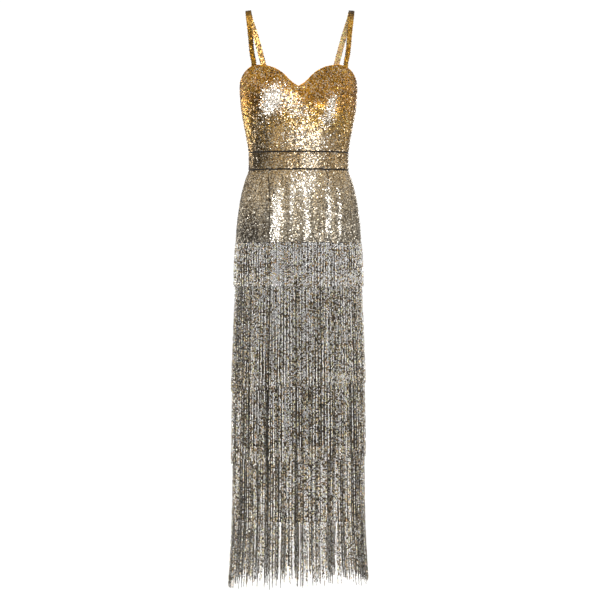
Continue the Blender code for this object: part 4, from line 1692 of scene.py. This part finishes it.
    def tape(self) -> bpy.types.Object:
        """The heading tape that carries the strands: a thin closed ring sewn round the skirt.

        Returns:
            The piece.
        """
        around = np.linspace(-180, 180, 181)[:-1]
        low, high = self.root - self.tape_height, self.root
        inner, outer = -BASE_INSET + TAPE_INNER, -BASE_INSET + TAPE_OUTER
        corners = ((low, inner), (low, outer), (high, outer), (high, inner))
        rings = np.stack([FORM.point(around, height + 0 * around, out) for height, out in corners])
        faces = ring_faces(len(around), [(0, 1), (1, 2), (2, 3), (3, 0)])
        mesh = make_mesh(f"{self.node}_tape", rings.reshape(-1, 3), faces)
        face_outwards(mesh)
        return place_piece(mesh, Finish.BASE, BEAD_SLOT, self.node)

    def build(self) -> None:
        """Makes the tape and the strands of the front and of the back."""
        centres, axes, colours, angle, width = self.beads()
        front = np.abs(degrees_past(angle, 0)) <= 90
        for half, chosen in (("front", front), ("back", ~front)):
            mesh = self.bead_mesh(
                f"{self.node}_strands_{half}", centres[chosen], axes[chosen], colours[chosen], width[chosen]
            )  # fmt: skip
            place_piece(mesh, Finish.BEADS, BEAD_SLOT, self.node)
        around = np.linspace(-180, 180, 361)
        girth = float(steps(FORM.point(around, self.root + 0 * around)).sum())
        tape = self.tape()
        log.info("%s tape %.3f m round, %d beads", self.node, girth, len(centres))


TIERS = (
    FringeTier(
        "fringe_tier_1", 1, HIP_SEAM - SEAM_GAP, -0.6720, -0.7180, 3.0 * MM, 3.8 * MM, 0.0, 0.5 * MM, 3 * MM,
        3.50, 0.42, bead_radius=1.66 * MM,
    ),
    FringeTier(
        "fringe_tier_2", 2, -0.6800, -0.9280, -0.9770, 3.0 * MM, 4.0 * MM, 11 * MM, 1.0 * MM, 7 * MM, 2.36, 0.38
    ),
    FringeTier(
        "fringe_tier_3", 3, -0.9350, -1.1150, -1.1660, 3.0 * MM, 5.0 * MM, 10 * MM, 1.2 * MM, 10 * MM, 1.96, 0.66
    ),
    FringeTier(
        "fringe_tier_4", 4, -1.1250, -1.3000, -1.4880, 2.0 * MM, 3.2 * MM, 5 * MM, 1.2 * MM, 26 * MM, 1.00, 0.60,
        strands=266, bead_radius=1.90 * MM, taper=0.40, foot_gain=-0.38, inner_gain=-0.36, short_clumps=True,
    ),
)  # fmt: skip


@dataclass
class Zip:
    """The slider and its pull tab at the top of the centre back, kept as their solids with a plated finish."""

    nodes: tuple[str, ...] = ("zip_slider", "zip_pull_tab")

    def build(self) -> None:
        """Gives both solids their finish."""
        for node in self.nodes:
            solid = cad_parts[node]
            for place in solid.material_slots:
                place.material = finish_of(Finish.ZIP)
            log.info("%s finished", node)


# ---- studio


SOFTBOXES = (
    # Name, degrees from the front and above the level, width and height, and radiance
    ("strip_front", 14.0, 6.0, (1.2, 2.4), 8.5),
    ("strip_left", 62.0, 0.0, (1.0, 2.6), 4.5),
    ("strip_right", -50.0, 0.0, (0.8, 2.4), 5.0),
    ("strip_back", 168.0, 6.0, (1.2, 2.4), 13.0),
    ("strip_back_side", -122.0, 0.0, (1.0, 2.6), 5.0),
)


@dataclass
class Studio:
    """A plain pale floor, soft lights and the camera at the photograph's angle.

    Ceiling, sweep and the two kinds of flat say how bright each part of the room is, backdrop how bright the white
    behind the gown is, and the flats' scale how many there are for each unit of direction.
    """

    distance: float = 7.5
    frame_width: float = 1.56
    camera_x: float = 0.0039
    camera_z: float = -0.751
    floor_z: float = -1.565
    floor_radius: float = 1.6
    light_distance: float = 5.0
    middle_z: float = -0.7
    ceiling: float = 0.80
    sweep: float = 0.45
    dark_flat: float = 0.14
    pale_flat: float = 0.80
    flats_scale: float = 4.0
    backdrop: float = 1.05

    def camera(self) -> None:
        """A level camera whose lens makes the frame just as wide as the photograph at the gown."""
        data = bpy.data.cameras.new("camera")
        data.sensor_width = 36.0
        data.lens = data.sensor_width * self.distance / self.frame_width
        camera = bpy.data.objects.new("camera", data)
        camera.location = (self.camera_x, -self.distance, self.camera_z)
        camera.rotation_euler = (math.pi / 2, 0.0, 0.0)
        bpy.context.scene.collection.objects.link(camera)
        bpy.context.scene.camera = camera

    def floor(self) -> None:
        """A pale round floor under the hem: a ring of corners about a middle one."""
        turn = np.linspace(0, 2 * math.pi, 97)[:-1]
        ring = np.stack([np.cos(turn), np.sin(turn), 0 * turn], axis=1) * self.floor_radius
        here = np.arange(len(turn))
        faces = np.stack([here * 0, here + 1, (here + 1) % len(turn) + 1], axis=1)
        mesh = make_mesh("floor", np.concatenate([np.zeros((1, 3)), ring]) + [0, 0, self.floor_z], faces)
        floor = bpy.data.objects.new("floor", mesh)
        mesh.materials.append(start_material("matt_white_paint", Base_Color=linear("#fafafa"), Roughness=0.9)[0])
        bpy.context.scene.collection.objects.link(floor)

    def softbox(self, name: str, around: float, lift: float, size: tuple[float, float], radiance: float) -> None:
        """A rectangular light on a sphere about the gown, turned to the gown's middle.

        Args:
            name: the light's name.
            around: its angle from the front, towards the wearer's left.
            lift: its angle above the level of the gown's middle.
            size: its width and height.
            radiance: how bright its face is; the power is pi times that times its area.
        """
        data = bpy.data.lights.new(name, "AREA")
        data.shape = "RECTANGLE"
        data.size, data.size_y = size
        data.energy = radiance * math.pi * size[0] * size[1]
        aim = Vector(looking(around, lift))
        light = bpy.data.objects.new(name, data)
        light.location = aim * self.light_distance + Vector((0.0, 0.0, self.middle_z))
        light.rotation_euler = aim.to_track_quat("Z", "Y").to_euler()
        light.visible_camera = False
        bpy.context.scene.collection.objects.link(light)

    def world(self) -> None:
        """White behind the gown as the camera sees it, and for mirrors a room: a bright ceiling and sweep, with
        pale and dark flats between them at eye level."""
        world = bpy.data.worlds.new("studio")
        world.use_nodes = True
        tree = world.node_tree
        tree.nodes.clear()
        place = add_node(tree, "ShaderNodeTexCoord")
        split = add_node(tree, "ShaderNodeSeparateXYZ", Vector=place.outputs["Generated"])
        # The flats stand upright, so their noise doesn't change with the height
        level = add_node(tree, "ShaderNodeCombineXYZ", X=split.outputs["X"], Y=split.outputs["Y"], Z=0.35)
        flats = add_node(
            tree, "ShaderNodeTexNoise", Vector=level.outputs["Vector"], Scale=self.flats_scale, Detail=1.0
        )
        room = 0.0
        for shape, low, high, least, most in (
            (split.outputs["Z"], 0.15, 0.55, 0.0, self.ceiling),
            (split.outputs["Z"], -0.10, -0.50, 0.0, self.sweep),
            (flats.outputs["Fac"], 0.42, 0.60, self.dark_flat, self.pale_flat),
        ):
            glow = add_node(
                tree, "ShaderNodeMapRange", {"interpolation_type": "SMOOTHSTEP"},
                Value=shape, From_Min=low, From_Max=high, To_Min=least, To_Max=most,
            ).outputs["Result"]  # fmt: skip
            room = add_node(tree, "ShaderNodeMath", {"operation": "ADD"}, n0=room, n1=glow).outputs["Value"]
        lit = add_node(tree, "ShaderNodeBackground", Color=linear("#fffdfa"), Strength=room)
        seen = add_node(tree, "ShaderNodeBackground", Color=(1.0, 1.0, 1.0, 1.0), Strength=self.backdrop)
        path = add_node(tree, "ShaderNodeLightPath")
        mix = add_node(
            tree, "ShaderNodeMixShader", n0=path.outputs["Is Camera Ray"],
            n1=lit.outputs["Background"], n2=seen.outputs["Background"],
        )  # fmt: skip
        add_node(tree, "ShaderNodeOutputWorld", Surface=mix.outputs["Shader"])
        bpy.context.scene.world = world

    def build(self) -> None:
        """Sets up the camera, floor, world and lights."""
        self.camera()
        self.floor()
        self.world()
        for row in SOFTBOXES:
            self.softbox(*row)
        bpy.context.scene.view_settings.view_transform = "Standard"
        bpy.context.scene.view_settings.look = "None"
        log.info("studio ready")


def main() -> None:
    """Builds the gown piece by piece, then the studio."""
    logging.basicConfig(level=logging.INFO, format="%(name)s %(message)s")
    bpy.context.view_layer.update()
    for part in (Bodice(), Waistband(), HipSkirt(), BaseSkirt()):
        part.build()
    Strap("strap_left", 1.0, 55.0, 152.0, 7.5 * MM).build()
    Strap("strap_right", -1.0, 50.0, 155.5, 0.0, back_gain=1.20, back_white=0.10).build()
    for tier in TIERS:
        tier.build()
    Zip().build()
    Studio().build()
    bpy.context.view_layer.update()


if __name__ == "__main__":
    main()
